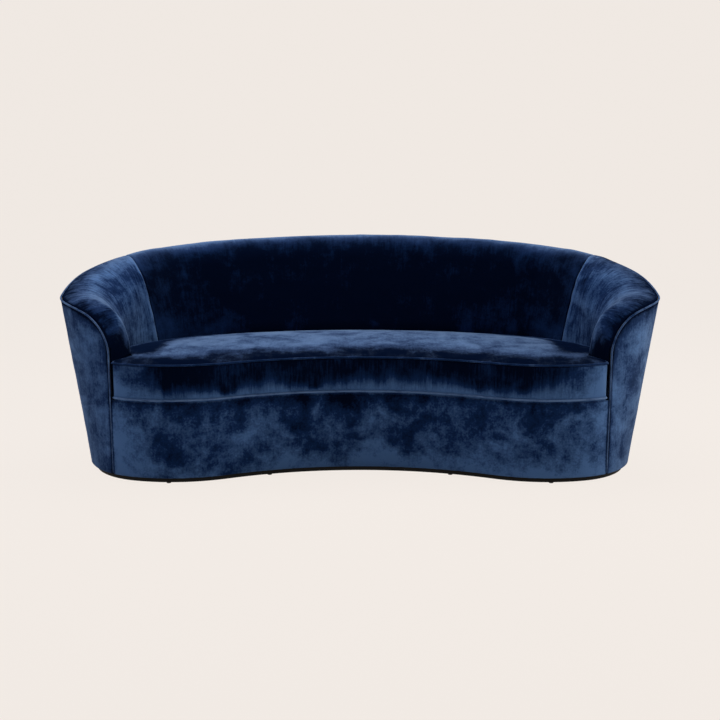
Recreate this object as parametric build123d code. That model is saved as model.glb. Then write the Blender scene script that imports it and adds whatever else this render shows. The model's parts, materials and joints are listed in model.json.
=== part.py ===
"""Curved tub sofa: a kidney-shaped base, a back that wraps round into two arms, one loose seat cushion.

Millimetres, +Z up, front towards -Y. While modelling, y counts back from the line that touches the
two front lobes; at the end the whole sofa is moved so that the origin lies under the middle of its box.
The outline of the covered base is a chain of tangent arcs. A place on it is its path length s from the
middle of the back; r is measured outwards from the outline and z from the floor.
"""
from build123d import *
import math
import os

# Plan of the covered base
BASE_HALF_WIDTH = 1032.0
BASE_DEPTH = 778.0
END_RADIUS = 280.0
END_CENTRE_Y = 289.0
LOBE_RADIUS = 500.0
FRONT_HOLLOW = 150.0
SEAM_HALF_WIDTH = 907.0

# Heights
GLIDE_HEIGHT = 4.0
PLINTH_HEIGHT = 20.0
BOARD_THICKNESS = 18.0
SEAT_RAIL_TOP = 284.0
SEAT_RAIL_HEIGHT = 22.0
DECK_TOP = 304.0
SEAT_LINE = 470.0

# Top edge of the shell: share of the back run or arm run, and height there
BACK_EDGE = ((0.0, 816.0), (0.5, 805.0), (0.89, 777.0), (1.0, 756.0))
ARM_EDGE = ((0.22, 716.0), (0.51, 654.0), (0.716, 633.0), (1.0, 572.0))
FRONT_FALL = 100.0
FRONT_FALL_RUN = 110.0

# Lean of the outside and shape of the upholstered inside, at the back and at the arms
LEAN_BACK = 0.18
LEAN_SIDE = 0.146
PAD_BACK = 75.0
PAD_ARM = 132.0
INSIDE_LEAN_BACK = 0.25
INSIDE_LEAN_ARM = 0.03
ROLL_BACK = 78.0
ROLL_ARM = 150.0
CROWN_BACK = 8.0
CROWN_ARM = 20.0
CREST_BACK = 42.0
CREST_ARM = 75.0
SWELL_BEFORE_SEAM = 240.0
SWELL_AFTER_SEAM = 140.0
NOSE_DEPTH = 40.0

# Layers
GAP = 0.3
LAYER_GAP = 0.9
VELVET = 2.0
LINER = 3.0
RAIL_THICKNESS = 27.0
WEBBING = 1.2
BORDER_FOAM = 5.0
FRONT_BOARD = 9.0
WELT = 8.0
WELT_PROUD = 2.0
FELT_LIFT = 7.8

# Frame
PLINTH_RECESS = 20.0
BASE_RAIL_WIDTH = 80.0
FRONT_RAIL_WIDTH = 60.0
SEAT_RAIL_LEDGE = 45.0
TOP_RAIL_HEIGHT = 60.0
TOP_RAIL_DROP = 18.0
POST_WIDTH = 44.0
BACK_POSTS = (160.0, 480.0, 800.0)
ARM_POST_START = 130.0
ARM_POST_END = 70.0
ARM_POST_COUNT = 3
FRONT_POSTS = (160.0, 480.0, 800.0)
BRACES = (-320.0, 0.0, 320.0)
BRACE_WIDTH = 44.0
BRACE_HEIGHT = 40.0
BRACE_END = 30.0
WEBBING_HEIGHTS = (380.0, 500.0, 620.0)
WEBBING_WIDTH = 70.0
WEBBING_END = 40.0

# Spacing of the sections that shape the back and the arms
BACK_STEP = 68.0
ARM_STEP = 40.0

# Hardware
SCREW_SHANK = 4.0
SCREW_HEAD = 8.0
SCREW_HEAD_HEIGHT = 3.0
SCREW_LENGTH = 32.0
SCREW_CLEARANCE = 0.5
BACK_SCREWS = (110.0, 640.0)
END_SCREW = 115.0
FRONT_SCREWS = (620.0, 210.0)
BACK_GLIDE = 420.0
FRONT_GLIDES = (700.0, 330.0)
GLIDE_DIAMETER = 17.0
GLIDE_PIN = 3.0
GLIDE_PIN_LENGTH = 10.0
SPRING_WIRE = 3.8
SPRING_HALF_WIDTH = 21.0
SPRING_PITCH = 24.0
SPRING_SPACING = 140.0
SPRING_COUNT = 9
SPRING_SEAT = 28.0
CLIP_LENGTH = 24.0
CLIP_WIDTH = 14.0
CLIP_HEIGHT = 7.5
DUST_COVER = 0.8
DECK_CORNER = 8.0
DECK_CLEARANCE = 1.5

# Seat cushion
CUSHION_CLEARANCE = 9.0
CUSHION_FRONT_INSET = 3.0
CUSHION_WELT = 7.0
CUSHION_BOTTOM_WELT = 315.0
CUSHION_TOP_WELT = 443.0
CUSHION_EDGE = 446.0
CUSHION_CROWN = 22.0
CUSHION_CORNER = 18.0
ZIP_TAPE = 0.8
ZIP_TAPE_WIDTH = 28.0
ZIP_END = 20.0
SLIDER_LENGTH = 14.0
SLIDER_HEIGHT = 20.0
SLIDER_THICKNESS = 3.0
ZIP_BOXING_HALF_WIDTH = 400.0
ZIP_MARGIN = 80.0

BASE_Z = GLIDE_HEIGHT + PLINTH_HEIGHT
BASE_RAIL_TOP = BASE_Z + BOARD_THICKNESS
SEAT_RAIL_BOTTOM = SEAT_RAIL_TOP - SEAT_RAIL_HEIGHT
LINER_D = VELVET + LAYER_GAP
FRAME_D = LINER_D + LINER + LAYER_GAP
WEBBING_D = FRAME_D + RAIL_THICKNESS + LAYER_GAP
PAD_D = WEBBING_D + WEBBING + LAYER_GAP
EDGE_D = max(WELT - WELT_PROUD, FRAME_D - LAYER_GAP) + 2 * LAYER_GAP
WELT_GAP = WELT / 2 + 2 * GAP
WELT_D = WELT / 2 - WELT_PROUD
PAD_BOTTOM = SEAT_RAIL_TOP + GAP
BORDER_PAD_R = -(VELVET + GAP)
FRONT_BOARD_R = BORDER_PAD_R - BORDER_FOAM - GAP
FRONT_RAIL_R = FRONT_BOARD_R - FRONT_BOARD - GAP
FELT_BOTTOM = SEAT_RAIL_TOP + FELT_LIFT
DECK_COVER_BOTTOM = DECK_TOP - VELVET
CUSHION_BOTTOM = DECK_TOP + GAP
ZIP_HALF_RUN = ZIP_BOXING_HALF_WIDTH - ZIP_MARGIN

# Arcs of the outline
END_X = BASE_HALF_WIDTH - END_RADIUS
LOBE_X = END_X - math.sqrt((LOBE_RADIUS - END_RADIUS) ** 2 - (LOBE_RADIUS - END_CENTRE_Y) ** 2)
HOLLOW_Y = (LOBE_X ** 2 - FRONT_HOLLOW ** 2 - 2 * FRONT_HOLLOW * LOBE_RADIUS) / (2 * FRONT_HOLLOW)
HOLLOW_RADIUS = FRONT_HOLLOW + HOLLOW_Y
BACK_REACH = BASE_DEPTH - END_CENTRE_Y
BACK_RADIUS = (END_X ** 2 + BACK_REACH ** 2 - END_RADIUS ** 2) / (2 * (BACK_REACH - END_RADIUS))
BACK_CENTRE_Y = BASE_DEPTH - BACK_RADIUS
PHI_BACK = math.atan2(END_X, END_CENTRE_Y - BACK_CENTRE_Y)
PHI_LOBE = math.atan2(END_X - LOBE_X, END_CENTRE_Y - LOBE_RADIUS)
PHI_HOLLOW = math.pi + math.atan2(LOBE_X, LOBE_RADIUS + HOLLOW_Y)
PHI_SEAM = math.pi - math.asin((SEAM_HALF_WIDTH - END_X) / END_RADIUS)
S_BACK = BACK_RADIUS * PHI_BACK
S_SEAM = S_BACK + END_RADIUS * (PHI_SEAM - PHI_BACK)
S_END = S_BACK + END_RADIUS * (PHI_LOBE - PHI_BACK)
S_LOBE = S_END + LOBE_RADIUS * (PHI_HOLLOW - PHI_LOBE)
S_HALF = S_LOBE + HOLLOW_RADIUS * (PHI_HOLLOW - math.pi)


def smooth(t):
    """Ease from 0 to 1."""
    t = min(1.0, max(0.0, t))
    return t * t * (3 - 2 * t)


def place(s):
    """Point, outward normal and facing angle of the outline at path length s, either way round."""
    side = 1.0
    if s < 0:
        side, s = -1.0, -s
    if s > S_HALF:
        side, s = -side, 2 * S_HALF - s
    if s <= S_BACK:
        phi, cx, cy, radius = s / BACK_RADIUS, 0.0, BACK_CENTRE_Y, BACK_RADIUS
    elif s <= S_END:
        phi, cx, cy, radius = PHI_BACK + (s - S_BACK) / END_RADIUS, END_X, END_CENTRE_Y, END_RADIUS
    elif s <= S_LOBE:
        phi, cx, cy, radius = PHI_LOBE + (s - S_END) / LOBE_RADIUS, LOBE_X, LOBE_RADIUS, LOBE_RADIUS
    else:
        phi, cx, cy, radius = PHI_HOLLOW - (s - S_LOBE) / HOLLOW_RADIUS, 0.0, -HOLLOW_Y, -HOLLOW_RADIUS
    nx, ny = math.sin(phi), math.cos(phi)
    return side * (cx + radius * nx), cy + radius * ny, side * nx, ny, phi


def at(s, r, z):
    """Point at path length s, r outwards from the outline, height z."""
    x, y, nx, ny, _ = place(s)
    return Vector(x + nx * r, y + ny * r, z)


def lean(s):
    """Outward lean of the outside cover, none at the front."""
    s = abs(s)
    if s >= S_SEAM:
        return 0.0
    phi = place(s)[4]
    if phi <= math.pi / 2:
        return LEAN_BACK + (LEAN_SIDE - LEAN_BACK) * phi / (math.pi / 2)
    return LEAN_SIDE * math.cos(0.5 * math.pi * (phi - math.pi / 2) / (PHI_SEAM - math.pi / 2)) ** 2


def face_r(s, z, depth=0.0):
    """Outside face at height z, or a layer that lies depth behind it."""
    return lean(s) * (z - BASE_Z) - depth


def monotone(points, x):
    """Smooth curve through points that never overshoots them."""
    n = len(points)
    steps = [points[i + 1][0] - points[i][0] for i in range(n - 1)]
    rises = [(points[i + 1][1] - points[i][1]) / steps[i] for i in range(n - 1)]
    slopes = [0.0] + [0.0] * (n - 2) + [rises[-1]]
    for i in range(1, n - 1):
        if rises[i - 1] * rises[i] > 0:
            a, b = 2 * steps[i] + steps[i - 1], steps[i] + 2 * steps[i - 1]
            slopes[i] = (a + b) / (a / rises[i - 1] + b / rises[i])
    k = max(i for i in range(n - 1) if i == 0 or points[i][0] <= x)
    h = steps[k]
    t = min(1.0, max(0.0, (x - points[k][0]) / h))
    return (points[k][1] * (1 + 2 * t) * (1 - t) ** 2 + h * slopes[k] * t * (1 - t) ** 2
            + points[k + 1][1] * t * t * (3 - 2 * t) + h * slopes[k + 1] * t * t * (t - 1))


EDGE_POINTS = tuple((share * S_BACK, z) for share, z in BACK_EDGE)
EDGE_POINTS += tuple((S_BACK + share * (S_SEAM - S_BACK), z) for share, z in ARM_EDGE)


def edge_z(s):
    """Height of the seam along the top of the shell."""
    v = min(1.0, max(0.0, 1 - (S_SEAM - s) / FRONT_FALL_RUN))
    return monotone(EDGE_POINTS, s) - FRONT_FALL * (1 - math.sqrt(1 - v * v))


def edge_path():
    """The top seam as (s, z), from the middle of the back down the front of the arm to the base."""
    run = [S_BACK * i / 60 for i in range(60)]
    start = S_SEAM - FRONT_FALL_RUN
    run += [S_BACK + (start - S_BACK) * i / 40 for i in range(40)]
    run += [start + FRONT_FALL_RUN * math.sin(0.5 * math.pi * i / 40) for i in range(41)]
    path = [(s, edge_z(s)) for s in run]
    foot = path[-1][1]
    return path + [(S_SEAM, foot + (BASE_Z - foot) * i / 10) for i in range(1, 11)]


EDGE = edge_path()


def below_edge(s, depth):
    """Height of a line that runs depth inside the top seam."""
    s = abs(s)
    line = []
    for i in range(len(EDGE)):
        p, q = EDGE[max(0, i - 1)], EDGE[min(len(EDGE) - 1, i + 1)]
        ds, dz = q[0] - p[0], q[1] - p[1]
        length = math.hypot(ds, dz)
        line.append((EDGE[i][0] + depth * dz / length, EDGE[i][1] - depth * ds / length))
    for p, q in zip(line, line[1:]):
        if p[0] <= s <= q[0] and q[0] > p[0]:
            return p[1] + (q[1] - p[1]) * (s - p[0]) / (q[0] - p[0])
    return line[0][1] if s <= line[0][0] else line[len(EDGE) - 11][1]


def spread(a, b, step):
    """Evenly spaced places from a to b."""
    n = max(2, math.ceil(abs(b - a) / step))
    return [a + (b - a) * i / n for i in range(n + 1)]


def arm_spread(a, depth):
    """Places from a to the front seam less depth, closer together where the top edge falls."""
    end = S_SEAM - depth
    start = S_SEAM - FRONT_FALL_RUN
    fall = [start + (end - start) * math.sin(0.5 * math.pi * i / 8) for i in range(9)]
    return spread(a, start, ARM_STEP)[:-1] + fall


def band(places, section):
    """Solid through the sections at the given places; a section lists (r, z) corners."""
    return Solid.make_loft([Wire.make_polygon([at(s, r, z) for r, z in section(s)]) for s in places])


def arcs(a, b, r):
    """Arcs of the outline moved out by r, from a to b."""
    marks = [-S_END, -S_BACK, S_BACK, S_END, S_LOBE]
    marks += [2 * S_HALF - m for m in (S_LOBE, S_END, S_BACK)]
    stops = [a] + [m for m in marks if a + 0.01 < m < b - 0.01] + [b]
    return [Edge.make_three_point_arc(at(p, r, 0), at((p + q) / 2, r, 0), at(q, r, 0))
            for p, q in zip(stops, stops[1:])]


def strip(a, b, r_out, r_in, z_low, z_high):
    """Upright curved board from a to b, between two distances from the outline."""
    edges = arcs(a, b, r_out) + arcs(a, b, r_in)
    edges += [Edge.make_line(at(s, r_out, 0), at(s, r_in, 0)) for s in (a, b)]
    return raised(Face(Wire.combine(edges)[0]), z_low, z_high)


def leaning(places, d_out, d_in, low, high):
    """Layer that follows the lean of the outside, between two depths and two height functions."""
    def section(s):
        z0, z1 = low(s), high(s)
        return ((face_r(s, z0, d_out), z0), (face_r(s, z0, d_in), z0),
                (face_r(s, z1, d_in), z1), (face_r(s, z1, d_out), z1))
    return band(places, section)


def swell(s, back, arm):
    """Blend of a back size into an arm size across the inside seam."""
    t = smooth((abs(s) - S_BACK + SWELL_BEFORE_SEAM) / (SWELL_BEFORE_SEAM + SWELL_AFTER_SEAM))
    return back + (arm - back) * t


def inside_r(s, z):
    """Upholstered inside face: upright beside the cushion, leaning back above it."""
    r = -swell(s, PAD_BACK, PAD_ARM)
    return r + max(0.0, z - SEAT_LINE) * swell(s, INSIDE_LEAN_BACK, INSIDE_LEAN_ARM)


def upholstery(s, close, inset, bottom):
    """Corner points of the upholstered inside: foot, seat line, roll start, crest, edge, outer foot."""
    z_edge = edge_z(min(abs(s), S_SEAM))
    crown = swell(s, CROWN_BACK, CROWN_ARM) * close
    crest = swell(s, CREST_BACK, CREST_ARM) * close
    z_roll = z_edge - swell(s, ROLL_BACK, ROLL_ARM)
    z_seat = min(SEAT_LINE, z_roll - 20.0)

    def inner(z):
        outer = face_r(s, z, EDGE_D)
        return outer - (outer - inside_r(s, z) - inset) * close

    edge = (face_r(s, z_edge, EDGE_D), z_edge - inset)
    return ((inner(bottom), bottom), (inner(z_seat), z_seat), (inner(z_roll), z_roll),
            (edge[0] - crest, z_edge + crown - inset), edge, (face_r(s, bottom, EDGE_D), bottom))


def roll_lines(s, points):
    """Foot-to-edge outline of the upholstery: control points of two lines and two curves."""
    foot, seat, roll, crest, edge = points[:5]
    up, over = 0.55 * (crest[1] - roll[1]), 0.55 * (crest[0] - roll[0])
    tip = swell(s, INSIDE_LEAN_BACK, INSIDE_LEAN_ARM)
    run, drop = edge[0] - crest[0], crest[1] - edge[1]
    first = [roll, (roll[0] + tip * up, roll[1] + up), (crest[0] - over, crest[1]), crest]
    last = [crest, (crest[0] + 0.5 * run, crest[1]), (edge[0] - 0.25 * run, edge[1] + 0.6 * drop), edge]
    return [[at(s, *p) for p in line] for line in ([foot, seat], [seat, roll], first, last)]


def drawn(line):
    """Straight or curved edge on its control points."""
    return Edge.make_line(*line) if len(line) == 2 else Edge.make_bezier(*line)


def rolled(stations, inset, bottom, tail):
    """Solid through upholstery sections; tail gives the corners from the edge back to the foot."""
    wires = []
    for s, close in stations:
        points = upholstery(s, close, inset, bottom)
        corners = [points[4]] + tail(s, points) + [points[0]]
        lines = roll_lines(s, points)
        lines += [[at(s, *p), at(s, *q)] for p, q in zip(corners, corners[1:])]
        wires.append(Wire([drawn(line) for line in lines]))
    return Solid.make_loft(wires)


def skin(outside, inside, thickness, bottom):
    """Sheet between two runs of upholstery sections, the second drawn in by the thickness."""
    wires = []
    for (s, close), (q, shut) in zip(outside, inside):
        outer = roll_lines(s, upholstery(s, close, 0.0, bottom))
        inner = [line[::-1] for line in roll_lines(q, upholstery(q, shut, thickness, bottom))[::-1]]
        lines = outer + [[outer[-1][-1], inner[0][0]]] + inner + [[inner[-1][-1], outer[0][0]]]
        wires.append(Wire([drawn(line) for line in lines]))
    return Solid.make_loft(wires)


def plain_tail(s, points):
    """Straight down behind the edge."""
    return [points[5]]


NOSE_START = WELT_GAP


def nose(inset):
    """Places and closing shares round the front of the arm."""
    run = NOSE_DEPTH - inset
    angles = [math.radians(a) for a in (72, 54, 38, 24, 12, 4)]
    return [(S_SEAM - NOSE_START - inset - run * (1 - math.cos(a)), math.sin(a)) for a in angles]


def full(places):
    """Places with no closing."""
    return [(s, 1.0) for s in places]


S_NOSE = S_SEAM - NOSE_START - NOSE_DEPTH
S_BOARD = S_NOSE - GAP
S_PAD_END = S_BOARD - BOARD_THICKNESS - GAP


def mirrored(shape):
    """The same piece on the left."""
    return shape.mirror(Plane.YZ)


def upright(s, low, high):
    """Post that stands at s in the frame layer, following the curve."""
    half = POST_WIDTH / 2
    return leaning([s - half, s, s + half], FRAME_D, FRAME_D + RAIL_THICKNESS, low, high)


def front_y(x):
    """Front of the outline at x."""
    x = abs(x)
    lobe_end = LOBE_X + LOBE_RADIUS * math.sin(PHI_HOLLOW)
    if x <= lobe_end:
        return -HOLLOW_Y + math.sqrt(HOLLOW_RADIUS ** 2 - x * x)
    if x <= LOBE_X + LOBE_RADIUS * math.sin(PHI_LOBE):
        return LOBE_RADIUS - math.sqrt(LOBE_RADIUS ** 2 - (x - LOBE_X) ** 2)
    return END_CENTRE_Y - math.sqrt(END_RADIUS ** 2 - (x - END_X) ** 2)


def back_y(x):
    """Back of the outline at x."""
    return BACK_CENTRE_Y + math.sqrt(BACK_RADIUS ** 2 - x * x)


def front_s(x):
    """Path length of the front point at x, on the right."""
    low, high = S_SEAM, S_HALF
    for _ in range(60):
        middle = (low + high) / 2
        low, high = (middle, high) if place(middle)[0] > x else (low, middle)
    return low


def well_tip(clearance):
    """Where the seat well reaches the front outline, past the welt on the front seam."""
    return S_SEAM + WELT_GAP + clearance


def well_points(clearance):
    """Right half of the seat well, from the middle of the back round to the front seam."""
    places = spread(0.0, S_BACK, BACK_STEP)[:-1] + spread(S_BACK, S_NOSE, ARM_STEP)
    points = [at(s, inside_r(s, 0.0) - clearance, 0.0) for s in places]
    for a in (75, 60, 46, 32, 18, 6):
        c = math.cos(math.radians(a))
        s = well_tip(clearance) - (well_tip(clearance) - S_NOSE) * (1 - c)
        outer = face_r(s, DECK_TOP, EDGE_D)
        reach = (outer - inside_r(s, 0.0) + clearance) * math.sin(math.radians(a))
        points.append(at(s, outer - reach, 0.0))
    return points


def well_face(clearance, front_inset, corner=0.0):
    """Plan of what lies in the seat well: the inside contour, and the front outline less an inset."""
    right = well_points(clearance)
    last = well_tip(clearance)
    tip = at(last, -front_inset, 0.0)
    right.append(tip)
    left = [Vector(-p.X, p.Y, 0.0) for p in reversed(right[1:])]
    contour = Edge.make_spline(left + right)
    face = Face(Wire([contour] + arcs(last, 2 * S_HALF - last, -front_inset)))
    if corner:
        tips = [v for v in face.vertices() if abs(abs(v.X) - tip.X) < 0.01 and abs(v.Y - tip.Y) < 0.01]
        face = face.fillet_2d(corner, tips)
    return face


def outline_face(inset):
    """Plan of the whole outline less an inset."""
    return Face(Wire(arcs(-S_BACK, 2 * S_HALF - S_BACK, -inset)))


def raised(face, low, high):
    """Face extruded between two heights."""
    return extrude(Pos(0, 0, low) * face, high - low, dir=(0, 0, 1)).solid()


def rod(centre, radius, low, high):
    """Upright round bar."""
    return Pos(centre.X, centre.Y, (low + high) / 2) * Cylinder(radius, high - low)


parts = {}


def both(name, shape):
    """Keep a right piece and its left twin."""
    parts[name + "_right"] = shape
    parts[name + "_left"] = mirrored(shape)


# Base: glides, recessed plinth, base rails with screws, dust cover
end_run = (S_BACK + GAP, S_SEAM - GAP)
back_run = (-S_BACK, S_BACK)
front_run = (S_SEAM, 2 * S_HALF - S_SEAM)
plinth_in = -PLINTH_RECESS - BOARD_THICKNESS
plinth_mid = -PLINTH_RECESS - BOARD_THICKNESS / 2
screw_places = list(BACK_SCREWS) + [S_BACK + END_SCREW, S_SEAM - END_SCREW] + [front_s(x) for x in FRONT_SCREWS]
glide_places = [BACK_GLIDE, (S_BACK + S_SEAM) / 2] + [front_s(x) for x in FRONT_GLIDES]
screw_places += [-s for s in screw_places]
glide_places += [-s for s in glide_places]
screw_low = BASE_RAIL_TOP - SCREW_LENGTH
screws = []
screw_holes = []
for s in screw_places:
    c = at(s, plinth_mid, 0)
    head_low = BASE_RAIL_TOP - SCREW_HEAD_HEIGHT
    head = Pos(c.X, c.Y, BASE_RAIL_TOP - SCREW_HEAD_HEIGHT / 2) * Cone(
        SCREW_SHANK / 2, SCREW_HEAD / 2, SCREW_HEAD_HEIGHT)
    screws.append(rod(c, SCREW_SHANK / 2, screw_low, head_low) + head)
    wide = Pos(c.X, c.Y, BASE_RAIL_TOP - SCREW_HEAD_HEIGHT / 2) * Cone(
        (SCREW_SHANK + SCREW_CLEARANCE) / 2, (SCREW_HEAD + SCREW_CLEARANCE) / 2, SCREW_HEAD_HEIGHT)
    screw_holes.append(rod(c, (SCREW_SHANK + SCREW_CLEARANCE) / 2, screw_low - 1.0, head_low) + wide)
glides = []
pin_holes = []
for s in glide_places:
    c = at(s, plinth_mid, 0)
    pin_top = GLIDE_HEIGHT + GLIDE_PIN_LENGTH
    glides.append(rod(c, GLIDE_DIAMETER / 2, 0.0, GLIDE_HEIGHT) + rod(c, GLIDE_PIN / 2, 0.0, pin_top))
    pin_holes.append(rod(c, (GLIDE_PIN + SCREW_CLEARANCE) / 2, 0.0, pin_top + 0.5))


def bored(shape, cutters):
    """Shape with the holes that reach it."""
    box = shape.bounding_box()
    for cutter in cutters:
        c = cutter.bounding_box()
        if c.min.X < box.max.X and c.max.X > box.min.X and c.min.Y < box.max.Y and c.max.Y > box.min.Y:
            shape = shape - cutter
    return shape.solid()


parts["floor_glides"] = Compound([g.solid() for g in glides])
parts["plinth_screws"] = Compound([g.solid() for g in screws])
holes = screw_holes + pin_holes
for name, run in (("back", back_run), ("front", front_run)):
    parts["plinth_" + name] = bored(strip(*run, -PLINTH_RECESS, plinth_in, GLIDE_HEIGHT, BASE_Z), holes)
both("plinth_end", bored(strip(*end_run, -PLINTH_RECESS, plinth_in, GLIDE_HEIGHT, BASE_Z), holes))
parts["dust_cover"] = raised(outline_face(PLINTH_RECESS + BOARD_THICKNESS + 2 * GAP),
                             BASE_Z - DUST_COVER, BASE_Z)
base_in = -FRAME_D - BASE_RAIL_WIDTH
parts["base_rail_back"] = bored(strip(*back_run, -FRAME_D, base_in, BASE_Z, BASE_RAIL_TOP), screw_holes)
parts["base_rail_front"] = bored(strip(*front_run, FRONT_BOARD_R, base_in, BASE_Z, BASE_RAIL_TOP),
                                 screw_holes)
both("base_rail_end", bored(strip(*end_run, -FRAME_D, base_in, BASE_Z, BASE_RAIL_TOP), screw_holes))

# Base posts and cross braces
post_low = BASE_RAIL_TOP
post_high = SEAT_RAIL_BOTTOM
first_arm_post = S_BACK + ARM_POST_START
last_arm_post = S_PAD_END - ARM_POST_END
arm_post_places = [first_arm_post + (last_arm_post - first_arm_post) * i / (ARM_POST_COUNT - 1)
                   for i in range(ARM_POST_COUNT)]
base_posts = [upright(side * s, lambda q: post_low, lambda q: post_high)
              for s in list(BACK_POSTS) + arm_post_places for side in (-1, 1)]
for x in FRONT_POSTS:
    s = front_s(x)
    post = strip(s - POST_WIDTH / 2, s + POST_WIDTH / 2, FRONT_RAIL_R, FRONT_RAIL_R - RAIL_THICKNESS,
                 post_low, post_high)
    base_posts += [post, mirrored(post)]
parts["base_posts"] = Compound(base_posts)
braces = []
for x in BRACES:
    y0 = front_y(x) - FRONT_RAIL_R + BRACE_END
    y1 = back_y(x) - FRAME_D - BRACE_END
    braces.append(Pos(x, (y0 + y1) / 2, BASE_RAIL_TOP + BRACE_HEIGHT / 2)
                  * Box(BRACE_WIDTH, y1 - y0, BRACE_HEIGHT))
parts["cross_braces"] = Compound([b.solid() for b in braces])

# Seat rails
def seat_rail(places):
    """Seat rail under the pads, with a ledge for the springs inside them."""
    def section(s):
        inner = inside_r(s, 0.0) - SEAT_RAIL_LEDGE
        return ((face_r(s, SEAT_RAIL_BOTTOM, FRAME_D), SEAT_RAIL_BOTTOM), (inner, SEAT_RAIL_BOTTOM),
                (inner, SEAT_RAIL_TOP), (face_r(s, SEAT_RAIL_TOP, FRAME_D), SEAT_RAIL_TOP))
    return band(places, section)


parts["seat_rail_back"] = seat_rail(spread(*back_run, BACK_STEP))
both("seat_rail_end", seat_rail(spread(*end_run, ARM_STEP)))
parts["seat_rail_front"] = strip(*front_run, FRONT_RAIL_R, FRONT_RAIL_R - FRONT_RAIL_WIDTH,
                                 SEAT_RAIL_BOTTOM, SEAT_RAIL_TOP)

# Front border: board, foam and cover
border_run = (S_SEAM + WELT_GAP, 2 * S_HALF - S_SEAM - WELT_GAP)
parts["front_board"] = strip(*border_run, FRONT_BOARD_R, FRONT_BOARD_R - FRONT_BOARD,
                             BASE_RAIL_TOP, FELT_BOTTOM - GAP)
parts["front_border_pad"] = strip(*border_run, BORDER_PAD_R, BORDER_PAD_R - BORDER_FOAM,
                                  BASE_Z, FELT_BOTTOM - GAP)
parts["front_border_cover"] = strip(*border_run, 0.0, -VELVET, BASE_Z, DECK_COVER_BOTTOM - GAP)

# Upper frame: posts, top rails, webbing, arm fronts
def rail_bottom(s):
    """Underside of the top rail."""
    return edge_z(abs(s)) - TOP_RAIL_DROP - TOP_RAIL_HEIGHT


def rail_top(s):
    """Top of the top rail."""
    return edge_z(abs(s)) - TOP_RAIL_DROP


def seat_top(s):
    """Top of the seat rail."""
    return SEAT_RAIL_TOP


def upper_posts(places):
    """Posts from the seat rail to the top rail."""
    return [upright(s, seat_top, lambda q: rail_bottom(q) - LAYER_GAP) for s in places]


parts["back_posts"] = Compound(upper_posts([side * p for p in BACK_POSTS for side in (-1, 1)]))
parts["arm_posts"] = Compound(upper_posts([side * s for s in arm_post_places for side in (-1, 1)]))
parts["top_rail_back"] = leaning(spread(-S_BACK, S_BACK, BACK_STEP), FRAME_D, FRAME_D + RAIL_THICKNESS,
                                 rail_bottom, rail_top)
both("top_rail_arm", leaning(spread(S_BACK + GAP, S_PAD_END, ARM_STEP), FRAME_D, FRAME_D + RAIL_THICKNESS,
                             rail_bottom, rail_top))
webs = []
for z in WEBBING_HEIGHTS:
    webs.append(leaning(spread(-S_BACK + WEBBING_END, S_BACK - WEBBING_END, 110.0), WEBBING_D,
                        WEBBING_D + WEBBING, lambda s: z - WEBBING_WIDTH / 2, lambda s: z + WEBBING_WIDTH / 2))
parts["back_webbing"] = Compound(webs)

# Pads and arm front boards, cut from one upholstered form on each side
under = VELVET + LAYER_GAP


def frame_room(places):
    """Room that the frame and webbing take behind a pad, up to the top rail."""
    return leaning(places, -20.0, PAD_D, lambda s: PAD_BOTTOM - 10.0, lambda s: rail_top(s) + LAYER_GAP)


def half_space(s, way):
    """Everything past the upright plane at s, one way along the path."""
    x, y, nx, ny, _ = place(s)
    side = 2 * BASE_HALF_WIDTH
    plane = Plane(origin=(x, y, SEAT_LINE), x_dir=(nx, ny, 0), z_dir=(ny, -nx, 0))
    return plane * Pos(0, 0, way * side / 2) * Box(side, side, side)


back_form = rolled(full(spread(-S_BACK, S_BACK, BACK_STEP)), under, PAD_BOTTOM, plain_tail)
parts["back_pad"] = (back_form - frame_room(spread(-S_BACK - 6, S_BACK + 6, BACK_STEP))).solid()
arm_places = spread(S_BACK + GAP, S_NOSE, ARM_STEP)
nose_inside = nose(VELVET)[:-1] + [(nose(0.0)[-1][0], nose(VELVET)[-1][1])]
arm_form = rolled(full(arm_places) + nose(under), under, PAD_BOTTOM, plain_tail)
arm_room = frame_room(spread(S_BACK - 6, S_PAD_END + GAP, ARM_STEP))
both("arm_pad", ((arm_form & half_space(S_PAD_END, -1)) - arm_room).solid())
both("arm_front_board", (arm_form & half_space(S_BOARD - BOARD_THICKNESS, 1) & half_space(S_BOARD, -1)).solid())
both("arm_front_pad", (arm_form & half_space(S_NOSE, 1)).solid())

# Inside covers
back_places = full(spread(-S_BACK + GAP / 2, S_BACK - GAP / 2, BACK_STEP))
parts["inside_back_cover"] = skin(back_places, back_places, VELVET, PAD_BOTTOM)
both("inside_arm_cover", skin(full(arm_places) + nose(0.0), full(arm_places) + nose_inside, VELVET, PAD_BOTTOM))

# Outside covers and liners
def base_low(s):
    """Bottom edge of the covers."""
    return BASE_Z


def cover_top(s):
    """Top edge of an outside cover, under the welt."""
    return below_edge(s, WELT_GAP)


def liner_top(s):
    """Top edge of a liner."""
    return below_edge(s, WELT + GAP)


parts["outside_back_cover"] = leaning(spread(-S_BACK + GAP / 2, S_BACK - GAP / 2, BACK_STEP), 0.0, VELVET,
                                      base_low, cover_top)
both("outside_arm_cover", leaning(arm_spread(S_BACK + GAP / 2, WELT_GAP), 0.0, VELVET, base_low, cover_top))
parts["outside_back_liner"] = leaning(spread(-S_BACK + GAP / 2, S_BACK - GAP / 2, BACK_STEP), LINER_D,
                                      LINER_D + LINER, base_low, liner_top)
both("outside_arm_liner", leaning(arm_spread(S_BACK + GAP / 2, WELT + GAP), LINER_D, LINER_D + LINER,
                                  base_low, liner_top))


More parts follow.
